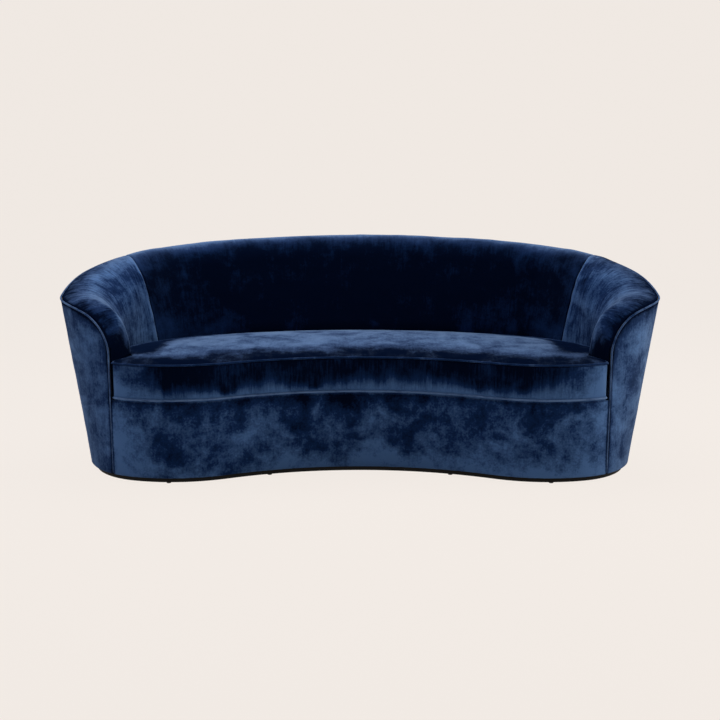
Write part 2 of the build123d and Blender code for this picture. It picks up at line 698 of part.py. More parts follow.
# Welt along the top seam and down the front seam
def welt(path):
    """Cord along (s, z) places, just proud of the outside face."""
    points = [at(s, face_r(s, z, WELT_D), z) for s, z in path]
    wires = []
    for i, (s, z) in enumerate(path):
        along = (points[min(i + 1, len(path) - 1)] - points[max(i - 1, 0)]).normalized()
        x, y, nx, ny, _ = place(s)
        out = Vector(nx, ny, 0)
        out = (out - along * out.dot(along)).normalized() * (WELT / 2)
        side = along.cross(out)
        wires.append(Wire.make_polygon([points[i] + out, points[i] + side, points[i] - out, points[i] - side]))
    return Solid.make_loft(wires)


parts["welt_back"] = welt([(s, edge_z(abs(s))) for s in spread(-S_BACK + GAP / 2, S_BACK - GAP / 2, BACK_STEP)])
fall_start = S_SEAM - FRONT_FALL_RUN
arm_path = [(s, edge_z(s)) for s in spread(S_BACK + GAP / 2, fall_start, 60.0)]
arm_path += [(s, edge_z(s)) for s in [fall_start + FRONT_FALL_RUN * math.sin(math.radians(a))
                                      for a in (18, 36, 54, 70, 84)]]
both("welt_arm", welt(arm_path))
seam_point = at(S_SEAM, -WELT_D, 0)
both("welt_front", rod(seam_point, WELT / 2, BASE_Z, edge_z(S_SEAM) - WELT_D).solid())

# Seat springs with clips, felt and deck cover
wire_z = SEAT_RAIL_TOP + CLIP_HEIGHT / 2
springs = []
clips = []
for i in range(SPRING_COUNT):
    x = (i - (SPRING_COUNT - 1) / 2) * SPRING_SPACING
    y0 = front_y(x) - FRONT_RAIL_R + FRONT_RAIL_WIDTH - SPRING_SEAT
    y1 = back_y(x) - PAD_BACK - SPRING_SEAT
    legs = max(4, round((y1 - y0) / SPRING_PITCH))
    pitch = (y1 - y0) / legs
    half = SPRING_HALF_WIDTH - pitch / 2
    path = []
    for k in range(legs + 1):
        y = y0 + k * pitch
        d = 1 if k % 2 == 0 else -1
        path.append(Edge.make_line(Vector(x - d * half, y, wire_z), Vector(x + d * half, y, wire_z)))
        if k < legs:
            path.append(Edge.make_three_point_arc(
                Vector(x + d * half, y, wire_z), Vector(x + d * (half + pitch / 2), y + pitch / 2, wire_z),
                Vector(x + d * half, y + pitch, wire_z)))
    start = Plane(origin=(x - half, y0, wire_z), z_dir=(1, 0, 0))
    springs.append(sweep(start * Circle(SPRING_WIRE / 2), path=Wire(path)).solid())
    for y in (y0, y1):
        block = Pos(x, y, SEAT_RAIL_TOP + CLIP_HEIGHT / 2) * Box(CLIP_LENGTH, CLIP_WIDTH, CLIP_HEIGHT)
        bore = Pos(x, y, wire_z) * Rot(0, 90, 0) * Cylinder(SPRING_WIRE / 2 + GAP, CLIP_LENGTH + 2)
        clips.append((block - bore).solid())
parts["sinuous_springs"] = Compound(springs)
parts["spring_clips"] = Compound(clips)
parts["deck_felt"] = raised(well_face(DECK_CLEARANCE, VELVET + LAYER_GAP, DECK_CORNER),
                            FELT_BOTTOM, DECK_COVER_BOTTOM - GAP)
parts["deck_cover"] = raised(well_face(DECK_CLEARANCE, 0.0, DECK_CORNER), DECK_COVER_BOTTOM, DECK_TOP)

# Seat cushion
well = [p for p in well_points(CUSHION_CLEARANCE) if p.Y > END_CENTRE_Y]
widest = max(p.X for p in well)
span = max(p.X for p in well_points(CUSHION_CLEARANCE))


def well_back_y(x):
    """Back of the cushion at x."""
    x = abs(x)
    for p, q in zip(well, well[1:]):
        if p.X <= x <= q.X and q.X > p.X:
            return p.Y + (q.Y - p.Y) * (x - p.X) / (q.X - p.X)
    return max(well, key=lambda p: p.X).Y


def crowned(low):
    """Block whose top is the crown of the cushion."""
    wires = []
    reach = 40.0
    for x in spread(-span - 20, span + 20, 120.0):
        xc = max(-widest, min(widest, x))
        y0 = front_y(xc) + CUSHION_FRONT_INSET
        y1 = well_back_y(xc)
        half = (y1 - y0) / 2
        rise = max(2.0, CUSHION_CROWN * (1 - (xc / widest) ** 4))
        radius = (half ** 2 + rise ** 2) / (2 * rise)
        middle = (y0 + y1) / 2
        top = CUSHION_EDGE + rise
        end_z = top - radius + math.sqrt(radius ** 2 - (half + reach) ** 2)
        a, b = Vector(x, y0 - reach, end_z), Vector(x, y1 + reach, end_z)
        c, d = Vector(x, y1 + reach, low), Vector(x, y0 - reach, low)
        wires.append(Wire([Edge.make_three_point_arc(a, Vector(x, middle, top), b), Edge.make_line(b, c),
                           Edge.make_line(c, d), Edge.make_line(d, a)]))
    return Solid.make_loft(wires)


def cushion_body(inset, bottom):
    """Cushion shape drawn in by an inset on all sides."""
    face = well_face(CUSHION_CLEARANCE + inset, CUSHION_FRONT_INSET + inset, CUSHION_CORNER)
    block = raised(face, bottom, CUSHION_EDGE + 2 * CUSHION_CROWN)
    return (block & crowned(bottom - 20.0).moved(Location((0, 0, -inset)))).solid()


outer = cushion_body(0.0, CUSHION_BOTTOM)
inner = cushion_body(VELVET, CUSHION_BOTTOM + VELVET)
case = outer - inner
slab = 3 * BASE_HALF_WIDTH


def layer(shape, low, high):
    """Part of a shape between two heights."""
    return shape & (Pos(0, BASE_DEPTH / 2, (low + high) / 2) * Box(slab, slab, high - low))


parts["cushion_core"] = cushion_body(VELVET + LAYER_GAP, CUSHION_BOTTOM + VELVET + LAYER_GAP)
seam = LAYER_GAP / 2
parts["cushion_top_panel"] = layer(case, CUSHION_TOP_WELT + seam, CUSHION_EDGE + 2 * CUSHION_CROWN).solid()
parts["cushion_bottom_panel"] = layer(case, 0.0, CUSHION_BOTTOM_WELT - seam).solid()
walls = layer(case, CUSHION_BOTTOM_WELT + seam, CUSHION_TOP_WELT - seam)


def back_box(half_width):
    """Block round the back of the cushion."""
    return Pos(0, BASE_DEPTH, CUSHION_TOP_WELT) * Box(2 * half_width, BASE_DEPTH, slab)


parts["cushion_boxing"] = (walls - back_box(ZIP_BOXING_HALF_WIDTH + LAYER_GAP)).solid()
parts["cushion_zip_boxing"] = (walls & back_box(ZIP_BOXING_HALF_WIDTH)).solid()
cord_out = well_face(CUSHION_CLEARANCE - CUSHION_WELT, CUSHION_FRONT_INSET - CUSHION_WELT, CUSHION_CORNER)
cord_in = well_face(CUSHION_CLEARANCE - LAYER_GAP, CUSHION_FRONT_INSET - LAYER_GAP, CUSHION_CORNER)
cord_plan = cord_out - cord_in
for name, z in (("cushion_welt_top", CUSHION_TOP_WELT), ("cushion_welt_bottom", CUSHION_BOTTOM_WELT)):
    parts[name] = raised(cord_plan.face(), z - CUSHION_WELT / 2, z + CUSHION_WELT / 2)
zip_z = (CUSHION_BOTTOM_WELT + CUSHION_TOP_WELT) / 2
zip_r = -PAD_BACK - CUSHION_CLEARANCE + GAP
parts["zip_tape"] = strip(-ZIP_HALF_RUN, ZIP_HALF_RUN, zip_r + ZIP_TAPE, zip_r,
                          zip_z - ZIP_TAPE_WIDTH / 2, zip_z + ZIP_TAPE_WIDTH / 2)
slider_s = ZIP_HALF_RUN - ZIP_END
slider_r = zip_r + ZIP_TAPE + 2 * GAP
parts["zip_slider"] = strip(slider_s - SLIDER_LENGTH / 2, slider_s + SLIDER_LENGTH / 2,
                            slider_r + SLIDER_THICKNESS, slider_r, zip_z - SLIDER_HEIGHT / 2,
                            zip_z + SLIDER_HEIGHT / 2)

# Origin under the middle of the box
os.makedirs("parts", exist_ok=True)
boxes = [shape.bounding_box() for shape in parts.values()]
mid_x = (min(b.min.X for b in boxes) + max(b.max.X for b in boxes)) / 2
mid_y = (min(b.min.Y for b in boxes) + max(b.max.Y for b in boxes)) / 2
low_z = min(b.min.Z for b in boxes)
to_origin = Location((-mid_x, -mid_y, -low_z))
for name, shape in parts.items():
    shape = shape.moved(to_origin)
    shape.label = name
    export_step(shape, f"parts/{name}.step")
print("nodes", len(parts), "moved by", -mid_x, -mid_y, -low_z)
print("zip axis y", BACK_CENTRE_Y - mid_y, "slider turn", 2 * slider_s / BACK_RADIUS)
print("size", max(b.max.X for b in boxes) - min(b.min.X for b in boxes),
      max(b.max.Y for b in boxes) - min(b.min.Y for b in boxes), max(b.max.Z for b in boxes) - low_z)
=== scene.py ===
"""Looks of a curved tub sofa: navy velvet upholstery, welts and one loose seat cushion over a CAD frame.

Lengths are millimetres while a shape is worked out and metres on every Blender object. A place on the
sofa is its path length s round the base outline from the middle of the back, r outwards from that
outline, and z from the floor. A pile is three shares from 0 to 1: how far it leans to the light, how
streaky it is and how cloudy. Its first share carries painted light and shade as well as the lean of the nap.
"""

from __future__ import annotations

import json
import logging
import math
from dataclasses import dataclass, field
from enum import Enum
from typing import NamedTuple

import bpy
import numpy as np
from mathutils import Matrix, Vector

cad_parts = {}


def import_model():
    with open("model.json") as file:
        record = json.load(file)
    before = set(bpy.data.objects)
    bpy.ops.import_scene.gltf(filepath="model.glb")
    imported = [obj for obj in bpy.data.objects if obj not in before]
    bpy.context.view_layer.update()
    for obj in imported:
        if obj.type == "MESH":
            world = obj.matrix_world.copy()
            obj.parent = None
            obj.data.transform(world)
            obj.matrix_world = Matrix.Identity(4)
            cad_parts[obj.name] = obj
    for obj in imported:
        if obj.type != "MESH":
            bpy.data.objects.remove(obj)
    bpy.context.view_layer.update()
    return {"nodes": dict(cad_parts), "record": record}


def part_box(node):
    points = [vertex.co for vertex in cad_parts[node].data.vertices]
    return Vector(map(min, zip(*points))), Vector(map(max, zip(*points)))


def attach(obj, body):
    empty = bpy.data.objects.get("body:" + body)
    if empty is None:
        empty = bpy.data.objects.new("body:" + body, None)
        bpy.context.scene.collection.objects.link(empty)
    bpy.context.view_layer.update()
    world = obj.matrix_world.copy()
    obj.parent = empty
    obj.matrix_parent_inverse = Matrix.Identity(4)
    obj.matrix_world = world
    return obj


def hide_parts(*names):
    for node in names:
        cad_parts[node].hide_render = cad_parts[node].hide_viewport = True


LOG = logging.getLogger("tub_sofa")
MM = 0.001
FULL_TURN = 2 * math.pi
QUARTER_TURN = math.pi / 2
EVEN_PILE = (0.5, 0.3, 0.8)
SEAM_STEPS = np.array([0.0, 0.8, 1.8, 3.0, 4.5, 6.5, 9.0, 13.0])
RIPPLE_WAVES = 14
RIPPLE_SPREAD = (0.7, 1.6)

Array = np.ndarray
Pair = tuple[float, float]
Band = tuple[float, float, float]
Waves = tuple[Pair, ...]


class Side(Enum):
    """Which arm of the sofa, as seen from the front."""

    RIGHT = 1.0
    LEFT = -1.0

    @property
    def tag(self) -> str:
        """Ending that the CAD nodes of this side carry."""
        return self.name.lower()


class Body(Enum):
    """CAD body that a piece moves with."""

    FRAME = "sofa_frame"
    CUSHION = "seat_cushion"
    PULL = "zip_pull"


def linear(code: str) -> tuple[float, float, float, float]:
    """Turn an sRGB hex value into linear RGBA.

    Args:
        code: six hex digits.

    Returns:
        Linear red, green, blue and an alpha of 1.
    """
    parts = [int(code[i:i + 2], 16) / 255 for i in (0, 2, 4)]
    r, g, b = (c / 12.92 if c <= 0.04045 else ((c + 0.055) / 1.055) ** 2.4 for c in parts)
    return r, g, b, 1.0


def per_metre(size_mm: float) -> float:
    """Texture scale whose features are about size_mm across."""
    return 1.0 / (size_mm * MM)


def add_node(tree: bpy.types.NodeTree, kind: str, links: dict | None = None,
             **settings: object) -> bpy.types.Node:
    """Add a shader node with its settings and links.

    Args:
        tree: node tree that gets the node.
        kind: node type, without the leading ShaderNode.
        links: per input name or number, an output socket to link or a value to set.
        settings: attributes of the node itself.

    Returns:
        The new node.
    """
    made = tree.nodes.new("ShaderNode" + kind)
    for name, value in settings.items():
        setattr(made, name, value)
    for key, value in (links or {}).items():
        if isinstance(value, bpy.types.NodeSocket):
            tree.links.new(value, made.inputs[key])
        else:
            made.inputs[key].default_value = value
    return made


def set_stops(ramp_node: bpy.types.Node, places: tuple[float, ...], codes: tuple[str, ...]) -> None:
    """Give a colour ramp its stops.

    Args:
        ramp_node: the colour ramp.
        places: where each stop is, from 0 to 1.
        codes: its sRGB hex colour.
    """
    elements = ramp_node.color_ramp.elements
    while len(elements) < len(places):
        elements.new(1.0)
    for element, place, code in zip(elements, places, codes):
        element.position = place
        element.color = linear(code)


@dataclass(frozen=True)
class Finish:
    """A material, named for what the real one is; each kind adds its own surface.

    The plain kind is moulded, pressed or coated: faint mottling and a fine grit.
    """

    name: str
    dark: str
    light: str
    roughness: float = 0.7
    metallic: float = 0.0
    specular: float = 0.5
    stops: tuple[float, ...] = (0.3, 0.7)
    cloud_mm: float = 60.0
    grit_mm: float = 1.5
    grit_relief_mm: float = 0.2

    def build(self) -> bpy.types.Material:
        """Make the material.

        Returns:
            A node material ready for a slot.
        """
        material = bpy.data.materials.new(self.name)
        material.use_nodes = True
        tree = material.node_tree
        shader = tree.nodes["Principled BSDF"]
        shader.inputs["Roughness"].default_value = self.roughness
        shader.inputs["Metallic"].default_value = self.metallic
        shader.inputs["Specular IOR Level"].default_value = self.specular
        material.diffuse_color = linear(self.dark)
        self.surface(tree, shader)
        return material

    def surface(self, tree: bpy.types.NodeTree, shader: bpy.types.Node) -> None:
        """Faint mottling and a fine grit.

        Args:
            tree: the material's nodes.
            shader: its Principled BSDF.
        """
        where = add_node(tree, "TexCoord").outputs["Object"]
        cloud = add_node(tree, "TexNoise", {"Vector": where, "Scale": per_metre(self.cloud_mm), "Detail": 4.0})
        colours = add_node(tree, "ValToRGB", {"Fac": cloud.outputs["Fac"]})
        set_stops(colours, self.stops, (self.dark, self.light))
        grit = add_node(tree, "TexNoise", {"Vector": where, "Scale": per_metre(self.grit_mm), "Detail": 2.0})
        bump = add_node(tree, "Bump", {"Height": grit.outputs["Fac"], "Strength": 0.2,
                                       "Distance": self.grit_relief_mm * MM})
        self.coat(tree, shader, colours.outputs["Color"], bump.outputs["Normal"])

    def coat(self, tree: bpy.types.NodeTree, shader: bpy.types.Node, colour: bpy.types.NodeSocket,
             relief: bpy.types.NodeSocket) -> None:
        """Link a colour and a relief to the shader."""
        tree.links.new(colour, shader.inputs["Base Color"])
        tree.links.new(relief, shader.inputs["Normal"])


@dataclass(frozen=True)
class Velvet(Finish):
    """Cut-pile velvet: nearly black seen into the pile, blue-grey along it as a sheen painted into its colour,
    mottled where it was brushed, with each panel's painted light and shade.
    """

    middle: str = "142B54"
    # Colour of the sheen painted into the base colour where the velvet is seen at a grazing angle.
    along: str = "647A98"
    sheen: str = "4A74C0"
    stops: tuple[float, ...] = (0.35, 0.52, 0.74)
    mottle_mm: float = 120.0
    patch_mm: float = 34.0
    grain_mm: float = 7.0
    cloud_shares: Band = (0.6, 0.27, 0.18)
    streak_mm: Pair = (9.0, 80.0)
    streak_share: float = 0.45
    pile_mm: float = 2.2
    pile_relief_mm: float = 0.5
    nap_relief_mm: float = 5.0
    nap_and_light_reach: float = 0.5
    contrast: float = 1.15
    graze_power: float = 1.8
    nap_and_light_gain: float = 1.25
    crush_gain: float = 3.4
    lit_floor: float = -0.2
    lit_range: Pair = (-0.2, 1.2)

    def surface(self, tree: bpy.types.NodeTree, shader: bpy.types.Node) -> None:
        """Clouds where hands crushed the pile, streaks where they stroked it, and the relief of the pile.

        Args:
            tree: the material's nodes.
            shader: its Principled BSDF.
        """
        where = add_node(tree, "TexCoord").outputs["Object"]
        # Each panel carries its own pile: the lean of its nap with painted light and shade added, how streaky
        # and how cloudy it is.
        pile = add_node(tree, "Attribute", attribute_name="pile")
        nap, brush, cloudy = add_node(tree, "SeparateXYZ", {0: pile.outputs["Vector"]}).outputs
        crush = self.crush(tree, where, brush, cloudy)
        # The first share, painted light and shade included, shifts the colour ramp.
        base = add_node(tree, "Math", {0: crush, 1: self.contrast, 2: 0.5 - 0.5 * self.nap_and_light_reach},
                        operation="MULTIPLY_ADD")
        tone = add_node(tree, "Math", {0: nap, 1: self.nap_and_light_reach, 2: base.outputs[0]},
                        operation="MULTIPLY_ADD")
        colours = add_node(tree, "ValToRGB", {"Fac": tone.outputs[0]})
        set_stops(colours, self.stops, (self.dark, self.middle, self.light))
        # The pile is about 0.3 mm across; it is drawn as coarse as pile_mm so that it shows in the render.
        tuft = add_node(tree, "TexNoise", {"Vector": where, "Scale": per_metre(self.pile_mm), "Detail": 2.0})
        fine = add_node(tree, "Bump", {"Height": tuft.outputs["Fac"], "Strength": 0.35,
                                       "Distance": self.pile_relief_mm * MM})
        lay = add_node(tree, "Bump", {"Height": crush, "Strength": 0.5, "Distance": self.nap_relief_mm * MM,
                                      "Normal": fine.outputs["Normal"]})
        # Seen along the pile, velvet shows the lit sides of its fibres; this sheen is painted into the base
        # colour, stronger where the pile's first share paints light.
        graze = add_node(tree, "LayerWeight", {"Blend": 0.5, "Normal": lay.outputs["Normal"]})
        power = add_node(tree, "Math", {0: graze.outputs["Facing"], 1: self.graze_power}, operation="POWER")
        lit = add_node(tree, "Math", {0: crush, 1: self.crush_gain, 2: self.lit_floor},
                       operation="MULTIPLY_ADD")
        bright = add_node(tree, "Math", {0: nap, 1: self.nap_and_light_gain, 2: lit.outputs[0]},
                          operation="MULTIPLY_ADD")
        soft = add_node(tree, "MapRange", {"Value": bright.outputs[0], "From Min": self.lit_range[0],
                                           "From Max": self.lit_range[1]}, interpolation_type="SMOOTHSTEP")
        share = add_node(tree, "Math", {0: power.outputs[0], 1: soft.outputs["Result"]}, operation="MULTIPLY",
                         use_clamp=True)
        seen = add_node(tree, "Mix", {0: share.outputs[0], 6: colours.outputs["Color"], 7: linear(self.along)},
                        data_type="RGBA")
        self.coat(tree, shader, seen.outputs[2], lay.outputs["Normal"])
        shader.inputs["Sheen Weight"].default_value = 0.15
        shader.inputs["Sheen Roughness"].default_value = 0.3
        shader.inputs["Sheen Tint"].default_value = linear(self.sheen)

    def crush(self, tree: bpy.types.NodeTree, where: bpy.types.NodeSocket, brush: bpy.types.NodeSocket,
              cloudy: bpy.types.NodeSocket) -> bpy.types.NodeSocket:
        """How far the pile is pressed over, about 0: clouds in three sizes, and streaks along the cloth.

        Args:
            tree: the material's nodes.
            where: place on the object.
            brush: how streaky the pile is.
            cloudy: how cloudy it is.

        Returns:
            The socket that carries it.
        """
        mottle = add_node(tree, "TexNoise", {"Vector": where, "Scale": per_metre(self.mottle_mm),
                                             "Detail": 3.0, "Roughness": 0.5, "Distortion": 0.5})
        patch = add_node(tree, "TexNoise", {"Vector": where, "Scale": per_metre(self.patch_mm),
                                            "Detail": 3.0, "Roughness": 0.6, "Distortion": 0.4})
        grain = add_node(tree, "TexNoise", {"Vector": where, "Scale": per_metre(self.grain_mm), "Detail": 2.0})
        clouds = -0.5 * sum(self.cloud_shares)
        for layer, share in zip((mottle, patch, grain), self.cloud_shares):
            added = add_node(tree, "Math", {0: layer.outputs["Fac"], 1: share, 2: clouds},
                             operation="MULTIPLY_ADD")
            clouds = added.outputs[0]
        clouds = add_node(tree, "Math", {0: clouds, 1: cloudy}, operation="MULTIPLY").outputs[0]
        cloth = add_node(tree, "UVMap", uv_map="cloth").outputs["UV"]
        across, along = (per_metre(size) for size in self.streak_mm)
        lie = add_node(tree, "Mapping", {"Vector": cloth, "Scale": (across, along, 1.0)})
        streak = add_node(tree, "TexNoise", {"Vector": lie.outputs["Vector"], "Scale": 1.0, "Detail": 2.0,
                                             "Distortion": 0.7})
        stroke = add_node(tree, "Math", {0: streak.outputs["Fac"], 1: self.streak_share,
                                         2: -0.5 * self.streak_share}, operation="MULTIPLY_ADD")
        pressed = add_node(tree, "Math", {0: stroke.outputs[0], 1: brush, 2: clouds}, operation="MULTIPLY_ADD")
        return pressed.outputs[0]


@dataclass(frozen=True)
class Timber(Finish):
    """Sawn and sanded wood: grain lines along the length, soft growth bands across it."""

    stops: tuple[float, ...] = (0.45, 0.85)
    grain_mm: float = 2.5
    band_mm: float = 16.0
    pore_share: float = 0.35
    pore_relief_mm: float = 0.3
    stretch: Band = (1.0, 1.0, 12.0)

    def surface(self, tree: bpy.types.NodeTree, shader: bpy.types.Node) -> None:
        """Growth bands and pores.

        Args:
            tree: the material's nodes.
            shader: its Principled BSDF.
        """
        where = add_node(tree, "TexCoord").outputs["Object"]
        lay = add_node(tree, "Mapping", {"Vector": where, "Scale": tuple(1.0 / s for s in self.stretch)})
        bands = add_node(tree, "TexNoise", {"Vector": lay.outputs["Vector"], "Scale": per_metre(self.band_mm),
                                            "Detail": 3.0, "Distortion": 1.2})
        pores = add_node(tree, "TexNoise", {"Vector": lay.outputs["Vector"], "Scale": per_metre(self.grain_mm),
                                            "Detail": 2.0})
        share = add_node(tree, "Math", {0: pores.outputs["Fac"], 1: self.pore_share, 2: bands.outputs["Fac"]},
                         operation="MULTIPLY_ADD")
        colours = add_node(tree, "ValToRGB", {"Fac": share.outputs[0]})
        set_stops(colours, self.stops, (self.dark, self.light))
        bump = add_node(tree, "Bump", {"Height": pores.outputs["Fac"], "Strength": 0.3,
                                       "Distance": self.pore_relief_mm * MM})
        self.coat(tree, shader, colours.outputs["Color"], bump.outputs["Normal"])


@dataclass(frozen=True)
class Woven(Finish):
    """Plain woven cloth: two crossing sets of threads, each darker where it dips under the other."""

    stops: tuple[float, ...] = (0.35, 0.95)
    cloud_mm: float = 90.0
    thread_mm: float = 1.6
    thread_share: float = 0.5
    thread_relief_mm: float = 0.4

    def surface(self, tree: bpy.types.NodeTree, shader: bpy.types.Node) -> None:
        """Threads over and under.

        Args:
            tree: the material's nodes.
            shader: its Principled BSDF.
        """
        where = add_node(tree, "TexCoord").outputs["Object"]
        scale = per_metre(self.thread_mm) / math.pi
        wave = {"Vector": where, "Scale": scale, "Distortion": 0.6, "Detail": 1.0}
        warp = add_node(tree, "TexWave", wave, bands_direction="X")
        weft = add_node(tree, "TexWave", wave, bands_direction="Y")
        threads = add_node(tree, "Math", {0: warp.outputs["Fac"], 1: weft.outputs["Fac"]},
                           operation="MULTIPLY")
        cloud = add_node(tree, "TexNoise", {"Vector": where, "Scale": per_metre(self.cloud_mm), "Detail": 3.0})
        share = add_node(tree, "Math", {0: threads.outputs[0], 1: self.thread_share, 2: cloud.outputs["Fac"]},
                         operation="MULTIPLY_ADD")
        colours = add_node(tree, "ValToRGB", {"Fac": share.outputs[0]})
        set_stops(colours, self.stops, (self.dark, self.light))
        bump = add_node(tree, "Bump", {"Height": threads.outputs[0], "Strength": 0.5,
                                       "Distance": self.thread_relief_mm * MM})
        self.coat(tree, shader, colours.outputs["Color"], bump.outputs["Normal"])


@dataclass(frozen=True)
class Studio(Finish):
    """Matt backdrop paper, which keeps the sofa's shadow and shows its own colour to the camera."""

    cloud_mm: float = 900.0
    glow: float = 0.96

    def surface(self, tree: bpy.types.NodeTree, shader: bpy.types.Node) -> None:
        """Paper that glows in its own colour for what looks at it directly.

        Args:
            tree: the material's nodes.
            shader: its Principled BSDF.
        """
        where = add_node(tree, "TexCoord").outputs["Object"]
        cloud = add_node(tree, "TexNoise", {"Vector": where, "Scale": per_metre(self.cloud_mm), "Detail": 2.0})
        colours = add_node(tree, "ValToRGB", {"Fac": cloud.outputs["Fac"]})
        set_stops(colours, self.stops, (self.dark, self.light))
        tree.links.new(colours.outputs["Color"], shader.inputs["Base Color"])
        ray = add_node(tree, "LightPath").outputs
        seen = ray["Is Camera Ray"]
        for other in ("Is Glossy Ray", "Is Transmission Ray"):
            seen = add_node(tree, "Math", {0: seen, 1: ray[other]}, operation="MAXIMUM").outputs[0]
        share = add_node(tree, "Math", {0: seen, 1: self.glow}, operation="MULTIPLY")
        glow = add_node(tree, "Emission", {"Color": colours.outputs["Color"], "Strength": 1.0})
        mix = add_node(tree, "MixShader", {0: share.outputs[0], 1: shader.outputs[0], 2: glow.outputs[0]})
        tree.links.new(mix.outputs[0], tree.nodes["Material Output"].inputs["Surface"])


# Deep navy pile without a gloss: near black to blue-grey as the pile's first share rises, a share that holds
# painted shade and painted light as well as the lean of the nap.
VELVET = Velvet("navy_cut_pile_velvet", "040D22", "4A6C9E", roughness=0.95, specular=0.0)
# The same cloth drawn tight round a cord: paler, partly because its pile stands open and partly as a painted
# highlight along the cord, and with little relief.
CORD_WITH_PAINTED_HIGHLIGHT = Velvet("navy_velvet_piping_painted_highlight", "0D1D38", "5C79A6", roughness=0.9, specular=0.0, mottle_mm=60.0,
              nap_relief_mm=0.8)
FINISHES: dict[str, Finish] = {
    # Rotary-cut and sanded: pale straw with wide bands lying in the sheet.
    "birch_plywood": Timber("sanded_birch_plywood", "A9824F", "D8B98A", stretch=(9.0, 9.0, 1.0)),
    # Planed: warm brown with straight grain along the post.
    "beech": Timber("planed_beech", "96653C", "C4956A"),
    # Sprayed paint: almost black, with a dull shine that stays out of the shadow line.
    "black_plinth": Finish("satin_black_paint", "060606", "0E0D0C", roughness=0.6, specular=0.15),
    # Pressed fibre: flat brown, a little cloudy.
    "fibre_board": Finish("pressed_hardboard", "5C4630", "7A6044", roughness=0.8),
    # Woven with rubber threads: dark, with ribs that can be counted.
    "webbing": Woven("elastic_webbing", "17130F", "3A322A", thread_mm=3.0),
    # Drawn wire under an oil film: dark grey with long highlights.
    "spring_steel": Finish("oiled_spring_steel", "3B3B3E", "5A5A5E", roughness=0.35, metallic=1.0),
    # Moulded: off-white with a soft shine.
    "clip_plastic": Finish("moulded_clip_nylon", "C6C5BE", "DAD9D2", roughness=0.5),
    # Needled waste fibre: grey and matt.
    "felt": Finish("needled_felt", "6E6A64", "99948C", roughness=0.95),
    # Woven flat: navy without the velvet's play of light.
    "deck_cloth": Woven("navy_deck_twill", "0B1428", "20345A", roughness=0.9, thread_mm=1.8),
    # Thin and matt: black, with just enough thread to catch light from the floor.
    "black_cambric": Woven("black_cambric", "070707", "1B1B1B", roughness=0.9, thread_mm=1.2),
    # Moulded: black with a soft shine.
    "nylon": Finish("black_moulded_nylon", "0D0D0D", "1C1C1C", roughness=0.55),
    # Plated: bright, slightly warm grey.
    "zinc_steel": Finish("zinc_plated_steel", "8C8B86", "B2B0A8", roughness=0.3, metallic=1.0),
    # Woven narrow: darker than the velvet beside it, with fine ribs.
    "zip_tape": Woven("navy_zip_tape", "070F20", "16284A", roughness=0.85, thread_mm=1.0),
    # Cast and lacquered: navy with small hard highlights.
    "zip_metal": Finish("lacquered_zinc_casting", "0C1424", "1D2B48", roughness=0.35),
    # Cut with a saw: creamy and matt.
    "seat_foam": Finish("cut_polyurethane_foam", "CFC39A", "E6DDBC", roughness=0.95),
}


def unit(v: Array) -> Array:
    """Vectors scaled to length 1."""
    return v / np.maximum(np.linalg.norm(v, axis=-1, keepdims=True), 1e-12)


def grid_normals(points: Array) -> Array:
    """Unit normals of a grid of points, first axis crossed with second."""
    return unit(np.cross(np.gradient(points, axis=0), np.gradient(points, axis=1)))


def bell(x: Array, height: float, middle: float, width: float) -> Array:
    """Bell curve of a height, a middle and a width."""
    return height * np.exp(-((x - middle) / width) ** 2)


def ramp(x: Array, height: float, start: float, run: float) -> Array:
    """Straight rise from 0 at its start to a height that it keeps from one run further on."""
    return height * np.clip((x - start) / run, 0.0, 1.0)


def fade(x: Array, height: float, run: float) -> Array:
    """Fall from a height towards nothing, quick at first."""
    return height * np.exp(-x / run)


def ease(t: Array) -> Array:
    """Share from 0 to 1 that starts and ends gently."""
    return t * t * (3 - 2 * t)


def path_run(points: Array, axis: int = 0) -> Array:
    """Path length along a line of points, or along one axis of a grid of them.

    Args:
        points: the places.
        axis: the axis that the path follows.

    Returns:
        Per place, its distance from the start.
    """
    steps = np.linalg.norm(np.diff(points, axis=axis), axis=-1)
    start = np.zeros_like(np.take(steps, [0], axis=axis))
    return np.concatenate([start, np.cumsum(steps, axis=axis)], axis=axis)


def spaced_evenly(points: Array, count: int) -> Array:
    """Points spaced evenly along a line.

    Args:
        points: the line.
        count: how many points to give.

    Returns:
        The evenly spaced points.
    """
    run = path_run(points)
    want = np.linspace(0, run[-1], count)
    return np.stack([np.interp(want, run, points[:, k]) for k in range(points.shape[1])], -1)


def on_cloth(along: Array, across: Array) -> Array:
    """Places on the flat cloth in metres, from millimetres along and across it."""
    return np.stack(np.broadcast_arrays(along, across), -1) * MM


def ripple(points: Array, wave_mm: float, seed: int) -> Array:
    """Smooth random relief of about unit height.

    Args:
        points: places in millimetres.
        wave_mm: size of its hills.
        seed: number that fixes the pattern.

    Returns:
        One height per place.
    """
    rng = np.random.default_rng(seed)
    total = np.zeros(points.shape[:-1])
    for _ in range(RIPPLE_WAVES):
        way = unit(rng.normal(size=3))
        length = wave_mm * rng.uniform(*RIPPLE_SPREAD)
        total += np.sin(points @ way * (FULL_TURN / length) + rng.uniform(0, FULL_TURN))
    return total / math.sqrt(RIPPLE_WAVES / 2)


def unevenness(points: Array, waves: Waves, seed: int) -> Array:
    """Slight unevenness of cloth, as a sum of ripples.

    Args:
        points: places in millimetres.
        waves: height and size of each ripple.
        seed: number that fixes the first pattern; each further ripple takes the next.

    Returns:
        One height per place.
    """
    return sum(height * ripple(points, size, seed + i) for i, (height, size) in enumerate(waves))


def tuck(distance: Array, radius: float) -> Array:
    """How far cloth dips into a seam at a distance from it, on a rounded edge."""
    near = np.clip(radius - distance, 0.0, radius)
    return radius - np.sqrt(np.maximum(radius * radius - near * near, 0.0))


